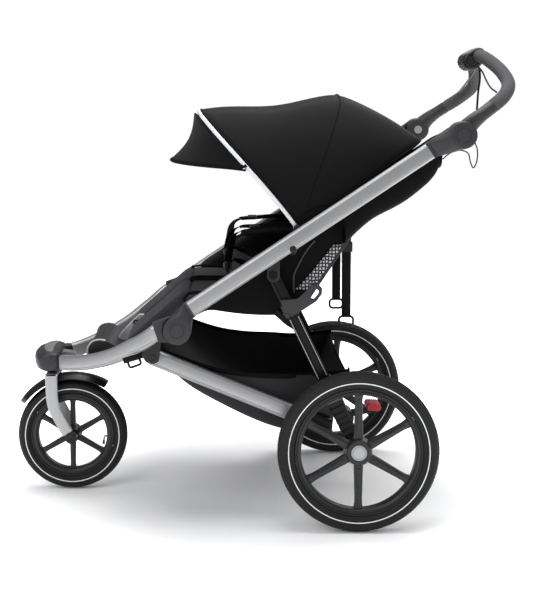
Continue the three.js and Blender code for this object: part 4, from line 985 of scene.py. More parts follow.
# ---------- fork, mudguard and front crosspiece ----------
@dataclass
class FrontEnd:
    """Fork, mudguard, crosspiece and the lever that locks the swivel."""

    swivel_x: float = -554.0
    axle: Pair = (-503.0, 149.5)
    leg_y: float = 45.0
    crown_top: float = 325.5
    guard_radius: float = 169.0
    guard_width: float = 62.0
    head_width: float = 186.0
    head_front: float = -604.0
    head_back: float = -533.0
    head_top: float = 396.0
    head_bottom: float = 341.0

    def build(self) -> None:
        """Builds every piece of the front end."""
        self.fork()
        self.mudguard()
        self.crosspiece()
        self.lever()

    def fork(self) -> None:
        """Two bent legs under a crown, with an axle between dark dropouts."""
        route = [(-556, 324), (-555, 285), (-553, 252), (-547, 226), (-537, 206), (-524, 182), (-512, 162)]
        pieces = []
        for side in SIDES.values():
            path = curve_through([point(x, side * self.leg_y, z) for x, z in route], 6)
            leg = sweep("leg", path, rounded_section(33, 12, 3, 3), FORK_METAL, CROSS,
                        lambda t: (lerp(1, 0.92, t), 1.0))
            pieces.append(leg)
        pieces.append(soften(loft("crown", [[point(self.swivel_x + a * 16, y, self.crown_top - b)
                                             for a, b in ((-1, 7.5), (1, 7.5), (1, 0), (-1, 0))]
                                            for y in (-51, 51)], FORK_METAL), 1.5))
        stem = rod("stem", point(self.swivel_x, 0, 318), point(self.swivel_x, 0, 384), 10, FORK_METAL)
        pieces.append(stem)
        mount(join(pieces, "fork_legs"), "fork_assembly", FORK_METAL, "fork")
        for label, side in SIDES.items():
            profile = [(0.0, 38.6), (16.0, 38.6), (16.0, 51), (14.6, 52.4), (11, 52.6), (10.4, 54.6),
                       (9.4, 55.6), (5, 55.6), (4.6, 53.0), (0.0, 53.0)]
            made = turned(f"fork_axle_nut_{label}", profile, side, self.axle, BLACK, 48)
            mount(made, "fork_assembly", BLACK)
        mount(rod("fork_axle", point(self.axle[0], -39, self.axle[1]), point(self.axle[0], 39, self.axle[1]),
                  6, STEEL_BLACK), "fork_assembly", STEEL_BLACK)

    def mudguard(self) -> None:
        """An arc of moulded sheet over the front wheel, narrowing to a rounded tip."""
        rows = []
        steps = 36
        for i in range(steps + 1):
            t = i / steps
            angle = math.radians(lerp(56, 147, t))
            flare = self.guard_radius + 4 * max(0.0, 1 - 4 * t)
            tip = 1 - max(0.0, (t - 0.9) / 0.1) ** 2.2 * 0.72
            root = 1 - 0.08 * max(0.0, (0.06 - t) / 0.06)
            half = self.guard_width / 2 * tip * root
            row = []
            for j in range(-8, 9):
                share = abs(j) / 8
                reach = flare - 13 * share ** 2.6 + 1.6 * math.exp(-((share - 0.55) / 0.12) ** 2)
                row.append(point(self.axle[0] + reach * math.cos(angle), j / 8 * half,
                                 self.axle[1] + reach * math.sin(angle)))
            rows.append(row)
        made = cloth_sheet("mudguard", rows, 3, BLACK, 1)
        soften(made, 0.9, 2)
        mount(made, "fork_assembly", BLACK, "front_fender")
        seat = soften(brick("mudguard_seat", (self.swivel_x, 0), (12, 12), (309.5, 318.2), BLACK), 1.5)
        mount(seat, "fork_assembly", BLACK)

    def head_section(self, y: float, inset: float = 0.0) -> list[Vector]:
        """One section of the crosspiece; its ends are swept back and lower than its middle."""
        end = (abs(y) / (self.head_width / 2)) ** 2
        front = self.head_front + 24 * end + inset
        top = self.head_top - 6 * end - inset
        back = self.head_back + 4 * end - inset
        low = self.head_bottom + inset
        outline = [(front + 14, low), (front + 5, low + 4), (front + 1, low + 14), (front, low + 30),
                   (front + 3, top - 14), (front + 12, top - 5), (front + 26, top), (back - 17, top - 1),
                   (back - 5, top - 5), (back, top - 16), (back, low + 9), (back - 8, low)]
        return [point(x, y, z) for x, z in outline]

    def crosspiece(self) -> None:
        """The moulded crosspiece with a lighter top face, and its collar over the fork's stem."""
        half = self.head_width / 2
        ends = ((0.0, 8.0), (1.6, 4.2), (4.5, 1.6), (9.0, 0.3), (16.0, 0.0))
        stations = [(-half + y, inset) for y, inset in ends] + [(half * k / 6, 0.0) for k in range(-4, 5)]
        stations += [(half - y, inset) for y, inset in ends[::-1]]
        body = soften(loft("body", [self.head_section(y, inset) for y, inset in stations], DARK, 46), 1.6)
        sleeves = []
        for side in SIDES.values():
            path = on_side([(-541, 66, 361), (-528, 76, 362), (-520, 83, 363)], side)
            sleeves.append(tube_sleeve("sleeve", path, 1.12, 1.08, 0.6))
        collar = sweep("collar", [point(self.swivel_x, 0, z) for z in (326, 327.5, 338, 343)],
                       round_section(30, 40), DARK, size=lambda t: (0.95, 0.95) if t == 0.0 else (1.0, 1.0))
        mount(join([body, collar, *sleeves], "crosspiece"), "front_frame", DARK, "front_crosspiece")
        rows = []
        for k in range(-10, 11):
            y = half * 0.84 * k / 10
            ring = self.head_section(y)
            front, back = ring[6], ring[7]
            rows.append([front.lerp(back, t) + point(0, 0, 0.5 - 1.2 * (t in (0.0, 1.0)))
                         for t in (0.0, 0.06, 0.5, 0.94, 1.0)])
        top = cloth_sheet("crosspiece_top", rows, 1.6, GREY, 0)
        mount(top, "front_frame", GREY)

    def lever(self) -> None:
        """The lever that locks the front wheel straight."""
        x, z = -526.1, 374.6
        outline = links((x, z, 6.3), (x + 28, z - 4, 6.3))
        base = plate("base", outline, -17, 17, GREY, 1.6)
        ridges = [plate("ridge", links((x + 18 + 5 * k, z + 3.0 - 0.7 * k, 1.6),
                                       (x + 18.2 + 5 * k, z + 3.4 - 0.7 * k, 1.4)), -13, 13, GREY, 0.5)
                  for k in range(3)]
        mount(join([base, *ridges], "swivel_lock"), "swivel_lock", GREY, "swivel_lock_lever")


# ---------- frame tubes and hinges ----------
def hub_shell(name: str, centre: Pair, radius: float, ends: Outline, side: int, near: float, tube: float,
              far: float) -> Piece:
    """A round hub that flows into the sleeve of a tube.

    Args:
        name: The piece's name.
        centre: The middle of the hub.
        radius: Its radius.
        ends: The two corners of the sleeve's far end.
        side: -1 for the left side and 1 for the right.
        near: Distance of its inner face from the middle plane.
        tube: Distance of the sleeve's outer face.
        far: Distance of the hub's outer face.

    Returns:
        The new object.
    """
    cx, cz = centre
    outline = hull(arc(cx, cz, radius, 0, 360, 72) + list(ends))
    steps = 96

    def reach(angle: float) -> float:
        """Distance from the centre to the outline in one direction."""
        dx, dz = math.cos(angle), math.sin(angle)
        best = radius
        for (ax, az), (bx, bz) in zip(outline, outline[1:] + outline[:1]):
            ex, ez = bx - ax, bz - az
            cross = dx * ez - dz * ex
            if abs(cross) < 1e-9:
                continue
            t = ((ax - cx) * ez - (az - cz) * ex) / cross
            u = ((ax - cx) * dz - (az - cz) * dx) / cross
            if t > 0 and -1e-6 <= u <= 1 + 1e-6:
                best = max(best, t)
        return best

    wide = [reach(FULL_TURN * k / steps) for k in range(steps)]
    rings = []
    for y, share, inset in ((near, 1.0, 0.8), (near + 0.8, 1.0, 0.0), (tube - 1.5, 1.0, 0.0),
                            (tube, 0.97, 0.8), (lerp(tube, far, 0.35), 0.72, 1.0),
                            (lerp(tube, far, 0.7), 0.30, 1.0), (far - 1.6, 0.06, 1.2), (far - 0.4, 0.0, 2.6),
                            (far, 0.0, 4.6)):
        ring = []
        for k, reach_here in enumerate(wide):
            angle = FULL_TURN * k / steps
            r = radius + (reach_here - radius) * share - inset
            ring.append(point(cx + r * math.cos(angle), side * y, cz + r * math.sin(angle)))
        rings.append(ring)
    return loft(name, rings, DARK, 50)


@dataclass
class Frame:
    """The side tubes, the hinges that they fold on, and the lower tubes."""

    def build(self) -> None:
        """Builds every tube and hinge."""
        for label, side in SIDES.items():
            self.front_tube(label, side)
            self.upper_tube(label, side)
            self.lower_tube(label, side)
            self.mid_hinge(label, side)
            self.tilt_hub(label, side)
            self.canopy_pivot(label, side)
        self.crossbars()
        self.latch_strap()

    def front_tube(self, label: str, side: int) -> None:
        """A curved tube from the crosspiece to the hinge."""
        route = [(-541, 66, 361), (-500, 100, 366), (-440, 165, 382), (-370, 245, 413), (-320, 303, 446),
                 (-286, 345, 470), (-262, 357, 489), (-248, 357, 499.5)]
        path = curve_through(on_side(route, side), 7)
        mount(metal_tube(f"front_tube_{label}_metal", path), "front_frame", ALUMINIUM, f"front_tube_{label}")

    @staticmethod
    def latch_strap() -> None:
        """The strap with a wire buckle that holds the folded frame shut."""
        y = -329.0
        path = curve_through([point(x, y, z) for x, z in ((-258, 452), (-272, 441), (-298, 430), (-328, 421),
                                                          (-338, 418))], 6)
        strap = sweep("strap", path, rounded_section(2.4, 15, 1.0, 2), WEBBING, UP)
        outline = [(u * 0.94 - w * 0.34, w * 0.94 + u * 0.34) for u, w in rounded_section(30, 17, 5, 4)]
        ring = wire_ring(point(-310, y - 2, 414), outline, 3.1, STEEL_BLACK)
        mount(join([strap, ring], "latch_strap"), "front_frame", WEBBING)

    def upper_tube(self, label: str, side: int) -> None:
        """The long straight tube, with a dark screw under it."""
        length = Place.tube_length()
        path = [point(*self.at(length * k / 12, side)) for k in range(13)]
        mount(metal_tube(f"upper_tube_{label}", path), "upper_frame", ALUMINIUM, "upper_frame_tube")
        screw = [(0.0, 369.4), (8.3, 369.4), (8.6, 370.4), (8.0, 371.8), (5.0, 372.2), (4.2, 371.0),
                 (0.0, 371.0)]
        head = turned(f"tube_screw_{label}", screw, side, (79, 700), BLACK)
        mount(head, "upper_frame", BLACK)

    @staticmethod
    def at(distance: float, side: int, across: float = 0.0) -> Triple:
        """A point along an upper side tube."""
        x, z = Place.along_tube(distance, across)
        return x, side * Place.side_y, z

    def lower_tube(self, label: str, side: int) -> None:
        """The slanting tube beside the basket, its link to the rear leg and its front pivot bracket."""
        start, end = point(-270, side * Place.leg_y, 425.6), point(171, side * Place.leg_y, 247)
        path = [start.lerp(end, k / 8) for k in range(9)]
        bar = metal_tube("tube", path)
        link_x, link_z = Place.along_leg(158)
        link = side_plate("link", links((157, 255, 20), (link_x, link_z, 16)), side, 280, 292.5, BLACK, 2)
        heel = [start.lerp(end, t) for t in (0.82, 0.86, 0.95, 1.004)]
        boot = tube_sleeve("boot", heel, 1.06, 1.05, 0.8)
        mount(join([bar, link, boot], f"lower_tube_{label}_metal"), "lower_frame", ALUMINIUM,
              f"lower_tube_{label}")
        outline = [(-292, 440), (-291, 430), (-281, 415), (-262, 411), (-250, 417), (-243, 466), (-252, 480),
                   (-266, 470)]
        cheek = side_plate("cheek", outline, side, 319.4, 337, BLACK, 3)
        pin_face = [(0.0, 300.0), (6.0, 300.0), (6.0, 336.0), (11.0, 336.6), (11.4, 338.4), (10.0, 339.6),
                    (5.0, 339.6), (4.6, 338.2), (0.0, 338.2)]
        pin = turned("pin", pin_face, side, (-266, 424), BLACK)
        mount(join([cheek, pin], f"pivot_bracket_{label}_moulding"), "front_frame", BLACK,
              f"pivot_bracket_{label}")

    @staticmethod
    def housing(name: str, side: int, centre: Pair, cap: Outline, sizes: Triple, ends: Pair,
                wrap: Sequence[float]) -> None:
        """A round cover that flows into the end of an upper tube.

        Args:
            name: The name of the node that it stands for.
            side: -1 for the left side and 1 for the right.
            centre: The middle of the cover.
            cap: Profile of its outer disc.
            sizes: Its radius, and the distances of its sleeve's and its own outer faces.
            ends: How far along the tube its sleeve and its cuff reach.
            wrap: Radius, start, end and steps of the arc that its sleeve goes round.
        """
        radius, sleeve_face, face = sizes
        a, b = [Place.along_tube(ends[0], across) for across in (20.6, -20.6)]
        c, d = [Place.along_tube(ends[1], across) for across in (20.8, -20.8)]
        pieces = [turned("disc", cap, side, centre, DARK, 80),
                  hub_shell("shoulder", centre, radius, [a, b], side, Place.split, 371.5, face),
                  side_plate("sleeve", [a, b, *arc(*centre, *wrap)], side, Place.tube_inner, sleeve_face,
                             DARK, 1),
                  side_plate("cuff", [c, a, b, d], side, Place.tube_inner - 0.8, Place.tube_outer + 0.9,
                             DARK, 0.6)]
        mount(join(pieces, f"{name}_moulding"), "upper_frame", DARK, name)

    def mid_hinge(self, label: str, side: int) -> None:
        """The hinge that the frame folds on: a cover on the upper frame and a knuckle on the front one."""
        face = [(0.0, 384.0), (20.4, 384.0), (20.0, 386.9), (17.8, 386.9), (17.4, 385.3), (16.4, 385.3),
                (15.8, 386.8), (0.0, 387.2)]
        self.housing(f"hinge_cover_{label}", side, Place.hinge, face, (35.0, 371, 385.8), (-0.3, 7),
                     (36.6, 26, 96, 10))
        knuckle = [(0.0, Place.split - 0.4), (33.0, Place.split - 0.4), (33.0, 347.0), (30.0, 344.0),
                   (14.0, 344.0), (13.0, 346.0), (0.0, 346.0)]
        inner = turned("inner", knuckle, side, Place.hinge, DARK, 64)
        front_arm = side_plate("arm", [(-264, 518.5), (-248.5, 472.5),
                                       *arc(*Place.hinge, 36.8, 238, 120, 16)], side, Place.tube_inner - 0.6,
                               371.4, DARK, 1.6)
        web = hull(arc(*Place.hinge, 32.0, 90, 270, 24) + [(-253.7, 517), (-253.7, 472)])
        inner_arm = side_plate("web", web, side, Place.tube_inner + 0.5, Place.split - 0.4, DARK, 1)
        mount(join([inner, front_arm, inner_arm], f"hinge_knuckle_{label}"), "front_frame", DARK,
              "hinge_yoke")

    def tilt_hub(self, label: str, side: int) -> None:
        """The hub that the handlebar tilts on, at the top of a side tube."""
        length = Place.tube_length()
        face = [(0.0, 384.0), (21.4, 384.0), (21.0, 387.0), (18.8, 387.0), (18.4, 385.4), (17.4, 385.4),
                (16.8, 386.9), (0.0, 387.3)]
        self.housing(f"tilt_bracket_{label}", side, Place.tilt, face, (34.0, 372, 386.0),
                     (length + 0.3, length - 7), (36.2, 262, 150, 14))
        button = [(0.0, 326.2), (12.0, 326.2), (12.4, 327.4), (12.4, 334.0), (0.0, 334.0)]
        made = turned(f"tilt_button_{label}_cap", button, side, Place.tilt, CAP, 8, 20)
        mount(made, f"button_{label}", CAP, f"tilt_button_{label}")

    def canopy_pivot(self, label: str, side: int) -> None:
        """The lug on a side tube's inner face that carries the canopy's bows."""
        lug = side_plate(f"canopy_lug_{label}", links((90, 750, 9), (94, 728, 12)), side, 344.2, 352, BLACK,
                         1)
        pin = sweep("pin", [point(90, side * y, 750) for y in (305, 306, 350)], round_section(3.5, 16), BLACK)
        mount(join([lug, pin], f"canopy_pivot_{label}"), "upper_frame", BLACK)

    def crossbars(self) -> None:
        """The bars that join the two sides: one between the hinges, one behind the seats."""
        mount(rod("fold_bar", point(-203, -Place.bar_half, 482), point(-203, Place.bar_half, 482), 9,
                  STEEL_BLACK), "front_frame", STEEL_BLACK)
        z = Place.tube_z(396) - 12
        mount(rod("seat_crossbar", point(384, -Place.bar_half, z), point(384, Place.bar_half, z), 10,
                  STEEL_BLACK), "upper_frame", STEEL_BLACK)


# ---------- handlebar ----------
@dataclass
class Handlebar:
    """The tilting handlebar, its foam grips, the brake's twist grip, its cables and the wrist strap."""

    radius: float = 15.5
    grip_radius: float = 17.2
    brake: Pair = (590.0, 1181.0)
    nose: Pair = (574.0, 1168.0)
    seam_y: float = 321.5
    slack_y: float = -345.0
    brake_half: float = 46.0
    dot_pitch: float = 5.2

    def route(self, side: int) -> list[Vector]:
        """The bar's middle line on one side, from its hub to the middle."""
        arm_y = (Place.hub_inner + Place.split) / 2
        points = [(488, arm_y, 977), (517, arm_y - 4, 1008), (567, 320, 1044.5), (604, 288, 1072),
                  (628, 228, 1103), (623, 172, 1135), (606, 114, 1163), (595, 70, 1177), (591, 50, 1180.5),
                  (590, 24, 1181), (590, 0, 1181)]
        return curve_through(on_side(points, side), 9)

    def build(self) -> None:
        """Builds every piece on the handlebar."""
        knuckles = []
        for label, side in SIDES.items():
            path = self.route(side)
            split = next(i for i, p in enumerate(path) if abs(p.y) < self.seam_y)
            first = next(i for i, p in enumerate(path) if math.hypot(p.x - Place.tilt[0],
                                                                     p.z - Place.tilt[1]) > 23)
            arm = sweep("arm", path[first:split + 1], round_section(self.radius, 28), DARK, UP,
                        size=lambda t: (lerp(0.86, 1.08, min(1.0, 2 * t)),
                                        lerp(1.5, 1.08, min(1.0, 1.5 * t))))
            bar = sweep("bar", path[split:], round_section(self.radius - 1.5, 20), DARK)
            face = [(0.0, 331.5), (13.0, 331.5), (13.0, 330.4), (26.0, 330.2), (31.0, 332.0), (33.0, 336.0),
                    (33.0, 357.3), (0.0, 357.3)]
            hub = turned("hub", face, side, Place.tilt, DARK, 64)
            knuckles += [arm, bar, hub]
            end = next(i for i, p in enumerate(path) if abs(p.y) < 46.4)
            grip = sweep(f"grip_{label}_foam", path[split:end], round_section(self.grip_radius, 32), FOAM,
                         size=lambda t: (self.end_round(t), self.end_round(t)), sharp=50)
            mount(grip, "handlebar_assembly", FOAM, f"grip_{label}")
        mount(join(knuckles, "handlebar_bar"), "handlebar_assembly", DARK, "handlebar")
        self.brake_grip()
        self.cables()

    @staticmethod
    def end_round(t: float) -> float:
        """Scale of a grip's section near its ends."""
        near = min(t, 1 - t)
        return 0.84 + 0.16 * math.sqrt(min(1.0, near / 0.022))

    @staticmethod
    def dot(path: Sequence[Vector], radius: float) -> Piece:
        """One raised dot of a gripping surface."""
        return sweep("dot", path, round_section(radius, 6), DARK,
                     size=lambda t: (1.0, 1.0) if t < 0.9 else (0.6, 0.6))

    def brake_grip(self) -> None:
        """The twist grip in the middle of the bar, with a lobed nose and a patch of dots."""
        outline = links((*self.brake, 22), (*self.nose, 25))
        body = plate("body", outline, -self.brake_half, self.brake_half, BLACK, 7)
        dots = []
        for k in range(7):
            angle = math.radians(150 + 17 * k)
            for j in range(-7, 8):
                y = self.dot_pitch * (j + 0.5 * (k % 2))
                if abs(y) > 38:
                    continue
                start = point(self.nose[0] + 24.4 * math.cos(angle), y, self.nose[1] + 24.4 * math.sin(angle))
                out = point(math.cos(angle), 0, math.sin(angle))
                dots.append(self.dot([start, start + out * 1.3, start + out * 1.6], 1.7))
        for side in SIDES.values():
            for row in range(5):
                for column in range(5):
                    x = self.nose[0] - 12 + self.dot_pitch * (column + 0.5 * (row % 2))
                    z = self.nose[1] - 11 + 5 * row
                    dots.append(self.dot([point(x, side * y, z) for y in (45.2, 46.6, 46.9)], 1.8))
        mount(join([body, *dots], "brake_twist_grip"), "brake_handle", BLACK, "brake_grip")

    def cables(self) -> None:
        """The brake's cable between the arms, its slack loop beside the left hub, and the wrist strap."""
        run = [(591, 262, 1082), (590, 200, 1094), (593, 130, 1114), (597, 60, 1138), (595.6, 18, 1150.4)]
        middle = [point(595.6, 0, 1150.4)]
        path = curve_through(on_side(run, -1) + middle + on_side(run[::-1], 1), 6)
        made = sweep("brake_cable_sheath", path, round_section(2.4, 12), CABLE)
        mount(made, "handlebar_assembly", CABLE, "brake_cable")
        loop = [(444, 918), (458, 930), (474, 938), (492, 939), (506, 932), (512, 910), (519, 897),
                (527, 912), (528, 942), (519.9, 963.9)]
        path = curve_through([point(x, self.slack_y, z) for x, z in loop], 6)
        made = sweep("brake_cable_slack", path, round_section(1.6, 10), CABLE)
        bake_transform(made)
        record(made, "upper_frame", CABLE, "brake_cable_loop")
        strap = [(601.5, 0, 1150), (602, -5, 1122), (597, -8, 1085), (595, -8, 1055), (594, -8, 1036)]
        path = curve_through(vectors(*strap), 6)
        made = sweep("wrist_tether", path, rounded_section(5.6, 3.0, 1.4, 3), WEBBING)
        mount(made, "handlebar_assembly", WEBBING, "wrist_strap")


# ---------- rear legs and axle ----------
@dataclass
class RearFrame:
    """The rear legs with their mounts and rubber blocks, the axle and the brake pedal."""

    leg_width: float = 29.0
    near: float = 293.0
    far: float = 319.0
    block_low: float = 34.6
    block_high: float = 130.0
    shoe_high: float = 185.0

    def build(self) -> None:
        """Builds every piece of the rear."""
        for label, side in SIDES.items():
            self.leg(label, side)
            self.block(label, side)
            self.mount_plate(label, side)
            self.clip(label, side)
        self.axle()
        self.pedal()

    @staticmethod
    def slab(name: str, low: float, high: float, width: float, side: int, near: float, far: float,
             finish: Finish, bevel: float) -> Piece:
        """A plate square to the leg's line."""
        along = Place.along_leg
        outline = [along(low, width / 2), along(high, width / 2), along(high, -width / 2),
                   along(low, -width / 2)]
        return side_plate(name, outline, side, near, far, finish, bevel)

    def leg(self, label: str, side: int) -> None:
        """A channelled leg with an eye at its top and a moulded shoe at its foot, and two painted highlights:
        thin pale lines along its outer face for the gloss on its edges.
        """
        w, t = self.leg_width / 2, 13.0
        right = [(w - 6, -t), (w, -t + 2), (w, t - 2), (w - 6, t)]
        section = [(-w + 6, -t), (-w + 7.5, -t + 3.2), (w - 7.5, -t + 3.2), *right, (w - 7.5, t - 3.2),
                   (-w + 7.5, t - 3.2), (-w + 6, t), (-w, t - 2), (-w, -t + 2)]
        path = [point(Place.along_leg(s)[0], side * Place.leg_y, Place.along_leg(s)[1])
                for s in (150, 230, 320, 400, 474)]
        bar = soften(sweep("bar", path, section, STEEL_BLACK, CROSS, sharp=HARD), 0.6, 2)
        # painted highlights: two thin pale lines along the leg's outer face stand for the gloss on its edges
        edges = []
        for across in (-w + 3.4, w - 3.4):
            line = [point(Place.along_leg(s, across)[0], side * (Place.leg_y + 13.0),
                          Place.along_leg(s, across)[1]) for s in (196, 280, 360)]
            edges.append(sweep("edge", line, round_section(0.9, 8), FORK_METAL))
        eye_face = [(0.0, 294.0), (15.0, 294.0), (17.0, 296.0), (17.0, 316.6), (15.0, 318.8), (0.0, 318.8)]
        eye = turned("eye", eye_face, side, Place.leg_top, STEEL_BLACK, 48)
        shoe = self.slab("shoe", 130.6, self.shoe_high, 40, side, self.near, self.far, BLACK, 3.0)
        collar = self.slab("collar", self.shoe_high - 4, self.shoe_high + 5, 37, side, self.near - 0.4,
                           self.far + 0.4, BLACK, 1.5)
        x, z = Place.along_leg(162)
        screw = bolt("screw", x, z, side, side * self.far, 6.5, BLACK)
        mount(join([bar, *edges, eye, shoe, collar, screw], f"rear_leg_{label}_metal"), "rear_legs",
              STEEL_BLACK, f"rear_leg_{label}")

    def block(self, label: str, side: int) -> None:
        """The ribbed rubber block that takes up shocks, under a lighter top plate."""
        ribs = 6
        pitch = (self.block_high - self.block_low) / ribs
        pieces = [self.slab("core", self.block_low, self.block_high, 30, side, 297, 315, BLOCK, 1.0)]
        for k in range(ribs):
            low = self.block_low + pitch * (k + 0.12)
            pieces.append(self.slab("rib", low, low + pitch * 0.72, 38, side, self.near + 0.2, self.far - 0.2,
                                    BLOCK, 2.4))
        made = mount(join(pieces, f"suspension_{label}_rubber"), "rear_legs", BLOCK,
                     f"suspension_block_{label}")
        foot, head = Place.along_leg(0), Place.along_leg(self.block_high)
        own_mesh(made)
        cap = self.slab(f"block_plate_{label}", 126, 131.5, 42, side, 291.5, 320.5, GREY, 1.2)
        mount(cap, "rear_legs", GREY)

    def mount_plate(self, label: str, side: int) -> None:
        """The bracket under a side tube that a rear leg swings on, with its screws and a tab behind it."""
        outline = [(16.5, 628), (22, 618), (32, 615), (42, 618), (48, 628), (48.5, 672), (43, 689), (22, 689),
                   (16, 672)]
        cheek = side_plate("cheek", outline, side, 319.6, 343.6, BLACK, 3)
        pin_face = [(0.0, 290.0), (7.0, 290.0), (7.0, 342.0), (11.5, 342.0), (11.5, 345.0), (9.5, 346.4),
                    (5.0, 346.4), (4.6, 345), (0.0, 345)]
        pin = turned("pin", pin_face, side, Place.leg_top, STEEL_BLACK)
        tab = side_plate("tab", links((79, 693, 9), (84, 712, 12), (60, 700, 8)), side, 344.4, 352, BLACK,
                         1.5)
        screw = bolt("screw", 79, 693, side, side * 352, 6.8, STEEL_BLACK)
        mount(join([cheek, pin, tab, screw], f"leg_mount_{label}_moulding"), "upper_frame", BLACK,
              f"leg_mount_{label}")

    def clip(self, label: str, side: int) -> None:
        """The clip round a rear leg, with a slotted arm that the seat's side strap passes through."""
        band = self.slab("band", 366, 400, 37.5, side, 291.0, 321.0, DARK, 2.5)
        outline = [(50, 569), (60, 536), (84, 533), (108, 545), (140, 566), (153, 584), (154, 598),
                   (142, 611), (126, 608), (113, 591), (93, 573), (70, 571)]
        slot = links((131, 580, 7.2), (138, 589, 7.2))
        arm = side_plate("arm", outline, side, 319.4, 327, DARK, 2.6, [slot])
        mount(join([band, arm], f"leg_clip_{label}"), "rear_legs", DARK)

    def axle(self) -> None:
        """The rear beam, its carriers under the rubber blocks and the ends that the wheels turn on."""
        x, z = Place.rear_axle
        pieces = [rod("beam", point(x, -300, z), point(x, 300, z), 14, STEEL_BLACK, 32),
                  rod("spindle", point(x, -364, z), point(x, 364, z), 6, STEEL_BLACK, 20)]
        for side in SIDES.values():
            ring = [(0.0, 293.4), (24.0, 293.4), (26.0, 295.4), (26.0, 328.6), (24.0, 330.6), (14.0, 331.0),
                    (12.6, 336.6), (0.0, 336.6)]
            pieces.append(turned("carrier", ring, side, (x, z), STEEL_BLACK, 48))
            pieces.append(self.slab("saddle", 4, 34, 38, side, self.near + 0.2, self.far - 0.2, STEEL_BLACK,
                                    2.5))
        mount(join(pieces, "rear_beam"), "axle_assembly", STEEL_BLACK, "rear_axle")

    def pedal(self) -> None:
        """The red ribbed brake pedal on its ring round the beam."""
        x, z = Place.rear_axle
        ring = [(14.6, -33.0), (22.6, -32.4), (23.0, -31.4), (23.0, 31.4), (22.6, 32.4), (14.6, 33.0)]
        hub = lathe("ring", ring, point(x, 0, z), BLACK, 48, HARD)
        arm = plate("arm", links((x + 24, z + 8, 8), (x + 74, z + 18, 7)), -13, 13, BLACK, 2)
        pad = plate("pad", links((x + 66, z + 29, 9), (x + 88, z + 28, 9)), -33, 33, RED, 2.6)
        ribs = [plate("rib", links((x + 62 + 5.4 * k, z + 37.4 - 0.3 * k, 1.6),
                                   (x + 62.2 + 5.4 * k, z + 39.0 - 0.3 * k, 1.4)), -30, 30, RED, 0.5)
                for k in range(6)]
        mount(join([hub, arm], "pedal_arm"), "parking_brake", BLACK)
        mount(join([pad, *ribs], "pedal_pad"), "parking_brake", RED, "brake_pedal")


# ---------- padding ----------
@dataclass(frozen=True)
class Filling:
    """How a pad's cloth behaves while it is filled."""

    mass: float = 0.25
    stiffness: float = 12.0
    bending: float = 0.3
    steps: int = 18


FILLING = Filling()


def puff(piece: Piece, pinned: Callable[[Vector], float], pressure: float = 4.0,
         reach: float = 11.0, voxel: float = 5.0) -> Piece:
    """Fills a closed shape by a short cloth simulation, which leaves its seams where they were.

    Args:
        piece: The slightly smaller shape that it starts from.
        pinned: How firmly a point, in millimetres, is sewn down, from 0 to 1.
        pressure: The pressure inside.
        reach: The furthest that any point moves.
        voxel: Size of the cells that the shape is remade in.

    Returns:
        The same object with its new mesh.
    """
    remade = piece.modifiers.new("remade", "REMESH")
    remade.mode = "VOXEL"
    remade.voxel_size = voxel * MM
    mesh = settled(piece)
    piece.modifiers.clear()
    piece.data = mesh
    start = [v.co.copy() for v in mesh.vertices]
    sewn = piece.vertex_groups.new(name="sewn")
    for i, co in enumerate(start):
        sewn.add([i], pinned(co / MM), "REPLACE")
    cloth = piece.modifiers.new("filling", "CLOTH")
    settings = cloth.settings
    settings.quality = 4
    settings.mass = FILLING.mass
    settings.use_pressure = True
    settings.uniform_pressure_force = pressure
    settings.tension_stiffness = settings.compression_stiffness = FILLING.stiffness
    settings.bending_stiffness = FILLING.bending
    settings.vertex_group_mass = "sewn"
    settings.effector_weights.gravity = 0
    for step in range(1, FILLING.steps + 1):
        bpy.context.scene.frame_set(step)
    filled = settled(piece)
    ends = [v.co.copy() for v in filled.vertices]
    piece.modifiers.clear()
    bpy.context.scene.frame_set(1)
    bpy.data.meshes.remove(filled)
    for vertex, before, after in zip(mesh.vertices, start, ends):
        move = after - before
        if move.length > reach * MM:
            move *= reach * MM / move.length
        vertex.co = before + move
    piece.vertex_groups.clear()
    shade(mesh)
    relax = piece.modifiers.new("relax", "SMOOTH")
    relax.factor = 0.5
    relax.iterations = 3
    subdivide(piece, 1)
    return piece


def seam(value: float, width: float) -> float:
    """How firmly a point is sewn, from its distance to a seam."""
    return max(0.0, 1 - abs(value) / width) ** 0.6


def mirrored(piece: Piece, name: str) -> Piece:
    """The same piece on the other side of the stroller."""
    mesh = settled(piece)
    mesh.transform(Matrix.Diagonal((1, -1, 1, 1)))
    mesh.flip_normals()
    return in_scene(name, mesh)


